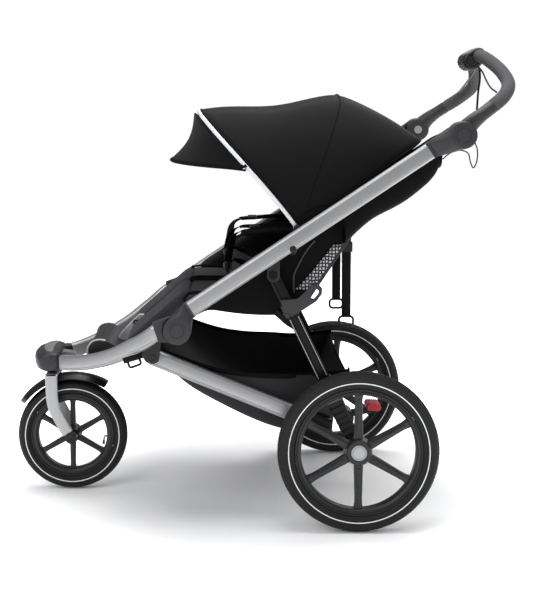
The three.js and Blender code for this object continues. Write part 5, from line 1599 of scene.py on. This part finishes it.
@dataclass
class Seats:
    """Two seats: their bottoms, backs and leg rests, the harnesses and the straps that recline the backs."""

    near: float = 12.5
    far: float = 277.5
    leg_far: float = 236.5
    back_foot: Pair = (99.0, 546.0)
    back_angle: float = math.radians(56.3)
    strap_y: float = 145.0
    strap_x: float = 230.5
    inset: float = 3.0
    edge_seam: float = 8.0
    cross_seam: float = 7.0

    def build(self) -> None:
        """Builds both seats."""
        self.bottoms()
        self.backs()
        self.leg_rests()
        for label, side in SIDES.items():
            self.harness(label, side)
            self.recline_strap(label, side)

    def both(self, made: Piece, name: str, bodies: Names, nodes: Names) -> None:
        """Mounts a pad made for the right side, and its mirror image on the left."""
        made.name = f"{name}_right"
        left = mirrored(made, f"{name}_left")
        for piece, body, node in ((made, bodies[1], nodes[1]), (left, bodies[0], nodes[0])):
            mount(piece, body, SEAT, node)

    def at_edge(self, y: float, far: float) -> float:
        """How firmly a pad is sewn along its two side edges."""
        near, far = self.near + self.inset, far - self.inset
        return 0.85 * max(seam(y - near, self.edge_seam), seam(y - far, self.edge_seam))

    def bottoms(self) -> None:
        """The seat bottoms, with two rolls at the front."""
        outline = [(-183, 556), (-180, 567), (-168, 573), (-150, 574), (-112, 573), (-60, 572), (30, 569),
                   (44, 560), (44, 550), (34, 543), (-120, 541), (-160, 541), (-178, 546)]
        made = side_plate("bottom", outline, 1, self.near + self.inset, self.far - self.inset, SEAT, 5)

        def sewn(p: Vector) -> float:
            """The side edges and two cross seams, which stop short of the sides."""
            crossing = max(seam(p.x + k, self.cross_seam) for k in (148, 92, 30)) if p.z > 558 else 0.0
            return max(self.at_edge(p.y, self.far), crossing)

        self.both(puff(made, sewn, 4.0, 8.0), "seat_cushion", ("upper_frame", "upper_frame"),
                  ("seat_bottom_left", "seat_bottom_right"))
        for label, side in SIDES.items():
            path = curve_through(on_side([(46, self.near, 552), (-60, self.near - 1, 552),
                                          (-160, self.near, 553), (-185, self.near + 12, 556),
                                          (-185, self.far - 12, 556), (-160, self.far, 553),
                                          (-60, self.far + 1, 552), (46, self.far, 552)], side), 8)
            pieces = [sweep("edge", path, round_section(2.6, 10), BAND)]
            for y, inward in ((self.near + 2, 0), (self.far - 2, 0), (self.near + 20, 1.2),
                              (self.far - 20, 1.2)):
                roll = curve_through(on_side([(-186 - inward, y, 549), (-188 - inward, y, 562),
                                              (-180, y, 574 + inward), (-164, y, 578.4 + inward),
                                              (-130, y, 578.6 + inward), (-60, y, 577 + inward),
                                              (20, y, 573 + inward)], side), 6)
                pieces.append(sweep("piping", roll, round_section(2.2, 8), BAND))
            mount(join(pieces, f"seat_edge_{label}"), "upper_frame", BAND)

    def on_back(self, along: float, off: float) -> Pair:
        """A point up the seat back from its foot, and off its middle plane to the front."""
        c, s = math.cos(self.back_angle), math.sin(self.back_angle)
        return self.back_foot[0] + along * c - off * s, self.back_foot[1] + along * s + off * c

    def backs(self) -> None:
        """The reclining backs, crossed by channels."""
        shape = [(4, -13), (4, 12), (14, 16.5), (406, 16.5), (416, 10), (417, -10), (408, -15), (14, -15)]
        made = side_plate("back", [self.on_back(a, o) for a, o in shape], 1, self.near + self.inset,
                          self.far - self.inset, SEAT, 6)
        c, s = math.cos(self.back_angle), math.sin(self.back_angle)

        def sewn(p: Vector) -> float:
            """The side edges, and four channels across the front face."""
            along = (p.x - self.back_foot[0]) * c + (p.z - self.back_foot[1]) * s
            off = (p.z - self.back_foot[1]) * c - (p.x - self.back_foot[0]) * s
            crossing = max(seam(along - k, self.cross_seam) for k in (90, 180, 270, 350)) if off > 6 else 0.0
            return max(self.at_edge(p.y, self.far), crossing)

        self.both(puff(made, sewn, 4.0, 8.0, 5.5), "seat_back_pad",
                  ("reclining_back_left", "reclining_back_right"), ("seat_back_left", "seat_back_right"))
        for label, side in SIDES.items():
            corners = [(10, self.near), (200, self.near - 0.5), (404, self.near + 2), (418, self.near + 16),
                       (418, self.far - 16), (404, self.far - 2), (200, self.far + 0.5), (10, self.far)]
            path = curve_through([point(self.on_back(a, 0)[0], side * y, self.on_back(a, 0)[1])
                                  for a, y in corners], 8)
            mount(sweep(f"back_edge_{label}", path, round_section(2.6, 10), BAND), f"reclining_back_{label}",
                  BAND)

    def leg_rests(self) -> None:
        """The padded leg rests in front of the seats, each with a seam along its middle."""
        turn = math.radians(44)
        top = (-192.0, 584.0)
        c, s = -math.cos(turn), -math.sin(turn)

        def at(along: float, off: float) -> Pair:
            """A point down the leg rest from its top, and off its middle plane to the front."""
            return top[0] + along * c + off * s, top[1] + along * s - off * c

        shape = [(-4, -22), (-4, -10), (4, -3), (94, 2), (100, 0), (106, 3), (194, 6), (202, 2), (202, -9),
                 (194, -14), (100, -20), (4, -27)]
        made = side_plate("rest", [at(a, o) for a, o in shape], 1, self.near + self.inset,
                          self.leg_far - self.inset, SEAT, 5)

        def sewn(p: Vector) -> float:
            """The side edges and one seam across the front face."""
            along = (p.x - top[0]) * c + (p.z - top[1]) * s
            return max(self.at_edge(p.y, self.leg_far), seam(along - 100, self.cross_seam))

        self.both(puff(made, sewn, 4.0, 7.0), "leg_rest_pad", ("front_frame", "front_frame"),
                  ("leg_rest_left", "leg_rest_right"))
        for label, side in SIDES.items():
            back = [at(a, o) for a, o in ((0, -22), (2, -34), (20, -42), (52, -44), (84, -39), (118, -28),
                                          (136, -17), (60, -14))]
            fill = subdivide(side_plate(f"leg_rest_backing_{label}", back, side, self.near + 10,
                                        self.leg_far - 4, SEAT, 7), 1)
            mount(fill, "front_frame", SEAT)

    def harness(self, label: str, side: int) -> None:
        """The five-point harness: shoulder, waist and crotch straps, and a buckle."""
        y = side * self.strap_y
        strap = rounded_section(24, 2.2, 1.0, 2)
        pieces = []
        for way in (-1, 1):
            o = way * 52.0
            lift = 0.0 if way == side else 16.0
            path = curve_through(vectors((212, y + o, 730 - lift), (150, y + o, 732 - lift),
                                        (70, y + o * 0.95, 733 - lift), (0, y + o * 0.85, 728 - lift),
                                        (-46, y + o * 0.6, 724 - lift), (-64, y + o * 0.45, 712 - lift),
                                        (-72, y + o * 0.3, 680), (-80, y + o * 0.1, 642)), 6)
            pieces.append(sweep("shoulder", path, strap, WEBBING, UP))
            pieces.append(sweep("shoulder_pad", path[9:24], rounded_section(38, 9, 4, 3), WEBBING, UP,
                                size=lambda t: (0.9 + 0.1 * math.sin(math.pi * t),
                                                0.8 + 0.2 * math.sin(math.pi * t))))
            o = way * 62.0
            waist = curve_through(vectors((-80, y + way * 8, 637), (-44, y + o, 624), (10, y + o * 1.5, 602),
                                         (34, y + o * 1.6, 592)), 7)
            pieces.append(sweep("waist", waist, rounded_section(2.2, 20, 1.0, 2), WEBBING, UP))
            pieces.append(sweep("waist_pad", waist[3:17], rounded_section(8, 34, 3.5, 3), SEAT, UP))
        crotch = curve_through([point(x, y, z) for x, z in ((-82, 640), (-79, 612), (-77, 582))], 6)
        pieces.append(sweep("crotch", crotch, strap, WEBBING, BACKWARD))
        pieces.append(sweep("crotch_pad", crotch[1:11], rounded_section(36, 9, 4, 3), SEAT, BACKWARD))
        clip = sweep("chest_clip", vectors((-8, y - 34, 733), (-8, y - 20, 734), (-8, y + 20, 734),
                                          (-8, y + 34, 733)), rounded_section(7, 26, 3, 3), BLACK,
                     point(1, 0, 0.01))
        pieces.append(clip)
        buckle = plate("buckle", links((-82, 640, 6.5), (-81, 628, 6.5)), y - 22, y + 22, BLACK, 3)
        button = plate("button", links((-88, 637, 2.5), (-88, 631, 2.5)), y - 8, y + 8, GREY, 1)
        whole = join([*pieces, buckle, button], f"harness_{label}_straps")
        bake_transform(whole)
        record(whole, "upper_frame", WEBBING, f"harness_{label}")

    def recline_strap(self, label: str, side: int) -> None:
        """The hanging strap behind a seat that sets its angle, with a buckle and a ring."""
        y = side * self.strap_y
        path = [point(self.strap_x, y, z) for z in (718, 690, 640, 590, 540, 515, 499)]
        strap = sweep("strap", path, rounded_section(24, 2.4, 1.0, 2), WEBBING, CROSS)
        block = soften(brick("block", (self.strap_x, y), (15.5, 5), (668, 694), BLACK), 2)
        outline = rounded_section(37, 25, 9, 5)
        ring = wire_ring(point(self.strap_x, y, 486), outline, 3.2, BLACK)
        mount(join([strap, block, ring], f"recline_strap_{label}_webbing"), "upper_frame", WEBBING,
              f"recline_strap_{label}")


# ---------- fabric ----------
@dataclass
class Sling:
    """The fabric under and behind the seats, hung between the side tubes."""

    half: float = 288.0
    panel_half: float = 333.0
    thickness: float = 2.4

    def build(self) -> None:
        """Builds the sling, the panel behind it, and what is sewn on them."""
        self.sling()
        self.panel()
        for label, side in SIDES.items():
            self.side_details(label, side)

    @staticmethod
    def low(x: float) -> float:
        """Height of the sling's floor at x."""
        behind = 546 + (x - 106.2) * math.tan(math.radians(56.3))
        return max(518 + 15 * ((x - 20) / 140) ** 2, behind)

    def section(self, x: float, low: float) -> list[Pair]:
        """Half of the sling's section, from the tube to the middle."""
        z, h = Place.tube_z(x), self.half
        return [(342.2, z + 17), (h + 16, z + 12), (h, z), (h, max(low + 12, z - 30)),
                (h - 2, min(low + 14, z - 34)), (h - 16, min(low, z - 40)), (h * 0.5, min(low, z - 42))]

    def panel_section(self, x: float, low: float, rise: float) -> list[Pair]:
        """Half of the rear panel's section, from its top edge to the middle."""
        z, h = Place.tube_z(x), self.panel_half
        return [(h - 22, z + rise), (h - 15, max(z + 6, low + 42)), (h, max(z - 14, low + 34)), (h, low + 22),
                (h - 14, low + 3), (h * 0.6, low - 2)]

    @staticmethod
    def grid(rows: Sequence[tuple[float, list[Pair]]]) -> list[list[Vector]]:
        """A grid of points from half sections, mirrored."""
        return [row_across(x, half) for x, half in rows]

    def sling(self) -> None:
        """The fabric under the seats."""
        stations = [-156, -130, -100, -60, -20, 20, 50, 75, 96, 115, 135, 155, 175, 193, 208.5]
        rows = self.grid([(x, self.section(x, self.low(x))) for x in stations])
        made = cloth_sheet("sling_cloth", rows, self.thickness, CLOTH, 2)
        mount(made, "upper_frame", CLOTH, "seat_sling")

    def panel(self) -> None:
        """The fabric behind the seats' upper halves, with a bound rear edge."""
        stations = [(211, 703, 42), (234, 726, 40), (262, 752, 36), (288, 771, 28), (327, 789, 22),
                    (364, 810, 26), (399, 839, 24), (420, 857, 26), (434, 876, 22), (443, 899, 20)]
        rows = self.grid([(x, self.panel_section(x, low, rise)) for x, low, rise in stations])
        made = cloth_sheet("back_panel_cloth", rows, self.thickness, CLOTH, 2)
        mount(made, "upper_frame", CLOTH, "back_panel")
        edge = sweep("back_panel_binding", curve_through(rows[-1], 4), rounded_section(5, 5, 2, 2), BAND,
                     point(1, 0, 0.01))
        mount(edge, "upper_frame", BAND)

    def side_details(self, label: str, side: int) -> None:
        """Piping, a panel of net and the strap that holds the sling's lower rear corner."""
        y = side * (self.half + 2.2)
        arc_points = vectors((137, side * 300, 714), (118, y, 690), (98, y, 655), (86, y, 628), (85, y, 604),
                            (86, y, 582))
        mount(sweep(f"sling_piping_{label}", curve_through(arc_points, 8), round_section(2.4, 10), PIPING),
              "upper_frame", PIPING)
        rows = []
        for i in range(11):
            z = lerp(590, 704, i / 10)
            left, right = 89 + 96 * (i / 10) ** 0.92, 103 + (z - 546) / 1.499
            rows.append([point(lerp(left, right, j / 6), y - side * 0.4, z) for j in range(7)])
        net = cloth_sheet(f"sling_net_{label}", rows, 1.2, NET, 0)
        mount(net, "upper_frame", NET)
        strap_path = curve_through(on_side([(40, 286, 533), (52, 290, 524), (70, 291, 508), (88, 291, 497)],
                                           side), 6)
        strap = sweep(f"sling_strap_{label}", strap_path, rounded_section(2.2, 16, 1.0, 2), WEBBING, UP)
        mount(strap, "upper_frame", WEBBING)
        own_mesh(strap)


@dataclass
class Canopy:
    """The folding canopy on its bows, and the visor that flips on the front one."""

    pivot: Pair = (90.0, 750.0)
    half: float = 338.0
    angles: Triple = (131.0, 69.5, 34.5)
    reaches: Triple = (374.5, 352.0, 388.0)
    corner: Pair = (200.0, 250.0)
    dips: Pair = (62.0, 8.0)
    lean: float = 4.5
    thickness: float = 2.2
    edge: float = 8.0
    anchor: Pair = (-32.0, 893.0)
    visor_reach: float = 184.0
    visor_pivot: Pair = (-38.0, 890.4)
    rows_ahead: int = 12
    rows_behind: int = 6

    def build(self) -> None:
        """Builds the canopy, its bows and its visor."""
        self.fabric()
        self.bows()
        self.visor()

    def reach(self, angle: float) -> float:
        """Reach of the fabric from the pivot line at an angle above the horizontal."""
        front, ridge, rear = self.angles
        if angle >= ridge:
            t = (angle - ridge) / (front - ridge)
            return lerp(self.reaches[1], self.reaches[0], t) - self.dips[0] * math.sin(math.pi * t)
        t = (ridge - angle) / (ridge - rear)
        return lerp(self.reaches[1], self.reaches[2], t) - self.dips[1] * math.sin(math.pi * t)

    def bow(self, angle: float, inset: float, start: float = 0.0, behind: float = 0.0,
            count: int = 10) -> list[Vector]:
        """One bow: legs at the half width, rounded corners and a slightly crowned top."""
        reach, half = self.reach(angle) - inset, self.half - inset
        back = max(0.0, (self.angles[1] - angle) / (self.angles[1] - self.angles[2]))
        tall, wide = lerp(min(self.corner[1], reach * 0.8), 84.0, back), lerp(self.corner[0], 66.0, back)
        share = max(0.0, (angle - self.angles[1]) / (self.angles[0] - self.angles[1]))
        turn, lean = math.radians(angle), math.radians(self.lean) * share
        outline = [(half, reach * start), (half, lerp(reach * start, (reach - tall) * 0.6, 0.5)),
                   (half, (reach - tall) * 0.6)]
        for k in range(count + 1):
            a = k / count * math.pi / 2
            outline.append((half - wide + wide * math.cos(a), reach - 12 - tall + tall * math.sin(a)))
        crown = half - wide
        outline += [(crown * 0.75, reach - 6.5), (crown * 0.5, reach - 3), (crown * 0.25, reach - 0.8),
                    (0.0, reach)]

        def place(y: float, r: float) -> Vector:
            """Puts one point of the outline in place."""
            a = turn - lean * (1 - r / reach) ** 2 - behind / max(r, 40)
            return point(self.pivot[0] + r * math.cos(a), y, self.pivot[1] + r * math.sin(a))

        return [place(-y, r) for y, r in outline] + [place(y, r) for y, r in outline[-2::-1]]

    def fabric(self) -> None:
        """The canopy's one sheet from bow to bow, its seams, bindings and trim."""
        front, ridge, rear = self.angles
        ahead, behind = self.rows_ahead, self.rows_behind
        angles = [lerp(front, ridge, i / ahead) for i in range(ahead)]
        angles += [lerp(ridge, rear, i / behind) for i in range(behind + 1)]
        rows = [self.bow(a, 0.0, 0.036, self.edge * (a - rear) / (front - rear)) for a in angles]
        made = cloth_sheet("canopy_cloth", rows, self.thickness, CLOTH, 1)
        pieces = [made]
        columns = len(rows[0])
        for index, radius in ((0, 3.0), (ahead, 1.5), (ahead + behind, 3.0)):
            line = curve_through(rows[index], 2)
            pieces.append(sweep("binding", line, round_section(radius, 8), BAND))
        for column, side in ((0, -1), (columns - 1, 1)):
            line = curve_through([row[column] for row in rows], 3)
            pieces.append(sweep("hem", line, round_section(3.2, 8), BAND))
            upper = curve_through([row[column - side] for row in rows], 3)
            pieces.append(sweep("piping", [p + point(0, side * 1.4, 0) for p in upper], round_section(2.0, 8),
                                BAND))
        whole = join(pieces, "canopy_sheet")
        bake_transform(whole)
        record(whole, "upper_frame", CLOTH, "canopy")

    def bows(self) -> None:
        """The two bows under the fabric, with eyes round their pivots."""
        kinds = (("canopy_front_bow", "canopy_front", "canopy_bow", self.angles[0], -1.0, TRIM,
                  (334.8, 343.4)), ("canopy_ridge_bow", "canopy_middle", "canopy_mid_bow", self.angles[1],
                                    26.0, STEEL, (307.2, 316.8)))
        for name, body, node, angle, inset, finish, eye in kinds:
            path = curve_through(self.bow(angle, inset, -0.02), 2)
            pieces = [sweep("bar", path, round_section(5.0, 14), finish)]
            for side in SIDES.values():
                ring = [(3.9, eye[0]), (7.6, eye[0]), (8.0, eye[0] + 0.5), (8.0, eye[1] - 0.5), (7.6, eye[1]),
                        (3.9, eye[1])]
                pieces.append(turned("eye", ring, side, self.pivot, finish))
            mount(join(pieces, name), body, finish, node)

    def visor_point(self, u: float, v: float, short: float) -> Vector:
        """A point of the visor: u runs across it from -1 to 1, v from the front bow to the wire."""
        front = math.radians(self.angles[0])
        top = (self.pivot[0] + self.reaches[0] * math.cos(front),
               self.pivot[1] + self.reaches[0] * math.sin(front))
        edge = abs(u)
        fall = edge ** 3.2
        root = point(lerp(top[0], self.anchor[0], fall) - lerp(12, -3, fall), u * (self.half - 2),
                     lerp(top[1] - 4, self.anchor[1] + 6, fall))
        tip = point(self.anchor[0] - 16 - self.visor_reach * (1 - edge ** 2.6), root.y,
                    self.anchor[1] + 11 * (1 - edge ** 1.5))
        t = v * (1 - short / (root - tip).length)
        sag = 17 * math.sin(math.pi * t) * (1 - fall)
        return root.lerp(tip, t) + point(sag, 0, -0.4 * sag)

    def visor(self) -> None:
        """The visor, its wire and its hem."""
        across = [k / 14 * 0.998 for k in range(-14, 15)]
        rows = [[self.visor_point(u, v / 8, 3.5) for u in across] for v in range(9)]
        sheet = cloth_sheet("visor_cloth", rows, 2.0, CLOTH, 1)
        hem = sweep("hem", curve_through(rows[-1], 2), round_section(2.6, 8), BAND)
        whole = join([sheet, hem], "visor_sheet")
        hinge_x, hinge_z = self.visor_pivot
        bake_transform(whole)
        record(whole, "canopy_front", CLOTH, "visor")
        pivots = [point(hinge_x, side * (self.half - 5), hinge_z) for side in (-1, 1)]
        line = [pivots[0]] + [self.visor_point(k / 16, 1, 0) for k in range(-15, 16)] + [pivots[1]]
        wire = sweep("wire", curve_through(line, 2), round_section(2.8, 10), BAND)
        inner, outer = self.half - 9.8, self.half - 1.2
        eyes = [turned("eye", ((0.0, inner), (3.2, inner), (3.2, outer), (0.0, outer)), side,
                       self.visor_pivot, BAND, 20) for side in SIDES.values()]
        mount(join([wire, *eyes], "visor_rim"), "visor_edge", BAND, "visor_wire")


@dataclass
class Basket:
    """The fabric basket between the lower tubes, and the footrest tray."""

    flat: Pair = (0.84, 0.62)
    area: float = 0.45
    bunch_x: float = 240.0
    keep: float = 0.03

    def build(self) -> None:
        """Builds the basket and the footrest."""
        self.tub()
        self.footrest()

    @staticmethod
    def rows() -> list[list[Vector]]:
        """The basket's grid: floor and walls in one sheet that sags a little between its ends."""
        stations = [(-254, 449, 424), (-236, 434, 388), (-200, 419, 352), (-160, 404, 322), (-100, 386, 290),
                    (-25, 375, 252), (52, 372, 222), (110, 371, 214), (160, 374, 234), (204, 379, 310),
                    (226, 382, 364)]
        rows = []
        for x, top, floor in stations:
            half = 291.0 if x < 80 else 276.5
            wall = [(half, top), (half, (top * 2 + floor) / 3), (half - 8, floor + 24),
                    (half - 26, floor + 4), (half * 0.55, floor - 3)]
            rows.append(row_across(x, wall))
        return rows

    def tub(self) -> None:
        """The tub and its bound rim."""
        rows = self.rows()
        # painted light: the basket's cloth is lighter than the other black cloth, to lift the shade inside it
        made = cloth_sheet("basket_cloth", rows, 2.2, TUB_PAINTED_LIGHT, 2)
        mount(made, "lower_frame", TUB_PAINTED_LIGHT, "basket")
        pieces = [sweep("end", curve_through(row, 4), round_section(2.6, 8), BAND)
                  for row in (rows[0], rows[-1])]
        for column in (0, -1):
            line = curve_through([row[column] for row in rows], 5)
            pieces.append(sweep("rim", line, rounded_section(4.4, 12, 2, 2), BAND, UP))
        binding = mount(join(pieces, "basket_binding"), "lower_frame", BAND)
        for piece in (made, binding):
            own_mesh(piece)

    @staticmethod
    def footrest() -> None:
        """The moulded tray for the feet, with its bar and tread lines."""
        outline = [(-446, 392), (-445, 412), (-436, 425), (-418, 431), (-398, 429), (-380, 419), (-364, 411),
                   (-350, 413), (-338, 424), (-332, 420), (-338, 400), (-356, 390)]
        smooth = curve_through([point(x, 0, z) for x, z in outline], 4, True)
        tray = plate("tray", [(p.x, p.z) for p in smooth], -127.5, 127.5, BLACK, 3)
        bar = rod("bar", point(-424, -171, 400), point(-424, 171, 400), 5, STEEL_BLACK)
        ribs = [sweep("rib", [point(-420 + 9 * k, y, 431.2 - 0.3 * k) for y in (-112, -110, 110, 112)],
                      round_section(1.6, 8), DARK) for k in range(3)]
        rims = []
        for side in SIDES.values():
            edge = curve_through([point(x, side * 127, z)
                                  for x, z in ((-352, 389), (-400, 388), (-446, 391), (-447, 412),
                                               (-437, 427), (-418, 433), (-400, 431))], 6)
            rims.append(sweep("rim", edge, rounded_section(5, 5, 1.8, 3), FORK_METAL))
        mount(join([tray, bar, *ribs, *rims], "footrest_tray"), "front_frame", BLACK, "footrest")
        outline = [(-386, 398), (-368, 391), (-342, 410), (-320, 438), (-304, 468), (-307, 481), (-320, 481),
                   (-344, 458), (-370, 430)]
        arm = plate("arm", outline, -9, 9, FORK_METAL, 2.4)
        eye = lathe("eye", [(3.4, -10.0), (7.4, -10.0), (8.0, -9.0), (8.0, 9.0), (7.4, 10.0), (3.4, 10.0)],
                    point(-329, 0, 459), BLACK, 32, HARD)
        mount(join([arm, eye], "leg_rest_bracket"), "front_frame", FORK_METAL)


# ---------- studio ----------
@dataclass
class Studio:
    """Camera, lights and floor."""

    place: Triple = (-0.0889, -3.3866, 1.0484)
    pitch: float = 86.592
    lens: float = 74.974
    shift: Pair = (0.071, -0.20)
    aim: Triple = (0.0, 0.0, 0.55)
    sky: float = 0.28
    floor_radius: float = 5.0
    floor_tone: float = 0.96

    def camera(self) -> None:
        """The camera at the reference angle."""
        data = bpy.data.cameras.new("studio_camera")
        data.lens = self.lens
        data.sensor_width = 36.0
        data.shift_x, data.shift_y = self.shift
        eye = in_scene("studio_camera", data)
        eye.location = self.place
        eye.rotation_euler = (math.radians(self.pitch), 0.0, 0.0)
        bpy.context.scene.camera = eye

    def lights(self) -> None:
        """Large soft lights, and a world that is white to the camera and softer to the piece."""
        for name, place, size, power in (("key", (-2.2, -2.8, 2.9), 2.4, 80.0),
                                         ("top", (0.2, 0.1, 3.4), 2.6, 138.0),
                                         ("fill", (2.8, -2.4, 1.2), 2.0, 16.0),
                                         ("rim", (1.6, 2.8, 2.4), 2.4, 45.0)):
            data = bpy.data.lights.new(name, "AREA")
            data.shape = "SQUARE"
            data.size = size
            data.energy = power
            lamp = in_scene(name, data)
            lamp.location = place
            lamp.rotation_euler = (Vector(self.aim) - Vector(place)).to_track_quat("-Z", "Y").to_euler()
        world = bpy.data.worlds.new("studio")
        world.use_nodes = True
        tree = world.node_tree
        tree.nodes.clear()
        soft = add_node(tree, "Background", {"Color": (0.93, 0.95, 1.0, 1.0), "Strength": self.sky})
        white = add_node(tree, "Background", {"Color": WHITE})
        mix = add_node(tree, "MixShader", {0: add_node(tree, "LightPath").outputs["Is Camera Ray"],
                                           1: soft.outputs[0], 2: white.outputs[0]})
        add_node(tree, "OutputWorld", {"Surface": mix.outputs[0]})
        bpy.context.scene.world = world
        bpy.context.scene.view_settings.view_transform = "Standard"

    def floor(self) -> None:
        """A pale floor that takes the shadow, and glows white far out; its glow fades towards its middle,
        which paints shade under the stroller.
        """
        mesh = bpy.data.meshes.new("studio_floor")
        rim = [(x, y, -0.0005) for x, y in round_section(self.floor_radius, 64)]
        mesh.from_pydata(rim, [], [tuple(range(len(rim)))])
        material = bpy.data.materials.new("studio_floor")
        material.use_nodes = True
        tree = material.node_tree
        # painted shade: the floor's glow is strong far out and almost none near its middle, so it is darker
        # round and under the stroller
        away = add_node(tree, "VectorMath", {0: object_place(tree)}, operation="LENGTH")
        glow_with_painted_shade = add_node(tree, "MapRange", {"From Min": 0.42, "From Max": 1.2, "To Min": 0.02, "To Max": 1.0,
                                           "Value": away.outputs["Value"]}, interpolation_type="SMOOTHSTEP")
        wire(tree, tree.nodes["Principled BSDF"], {
            "Base Color": (*[self.floor_tone] * 3, 1.0), "Roughness": 0.95, "Specular IOR Level": 0.1,
            "Emission Color": WHITE, "Emission Strength": glow_with_painted_shade.outputs["Result"]})
        mesh.materials.append(material)
        in_scene("studio_floor", mesh)


def main() -> None:
    """Builds every sub-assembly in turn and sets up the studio."""
    logging.basicConfig(level=logging.INFO, format="%(message)s")
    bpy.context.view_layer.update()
    studio = Studio()
    studio.camera()
    Handlebar().build()
    studio.lights()
    studio.floor()
    build_wheels()
    for part in (FrontEnd(), Frame(), RearFrame(), Seats(), Sling(), Canopy(), Basket()):
        part.build()
        LOG.info("%s built", type(part).__name__)
    LOG.info("everything is in place")


if __name__ == "__main__":
    main()
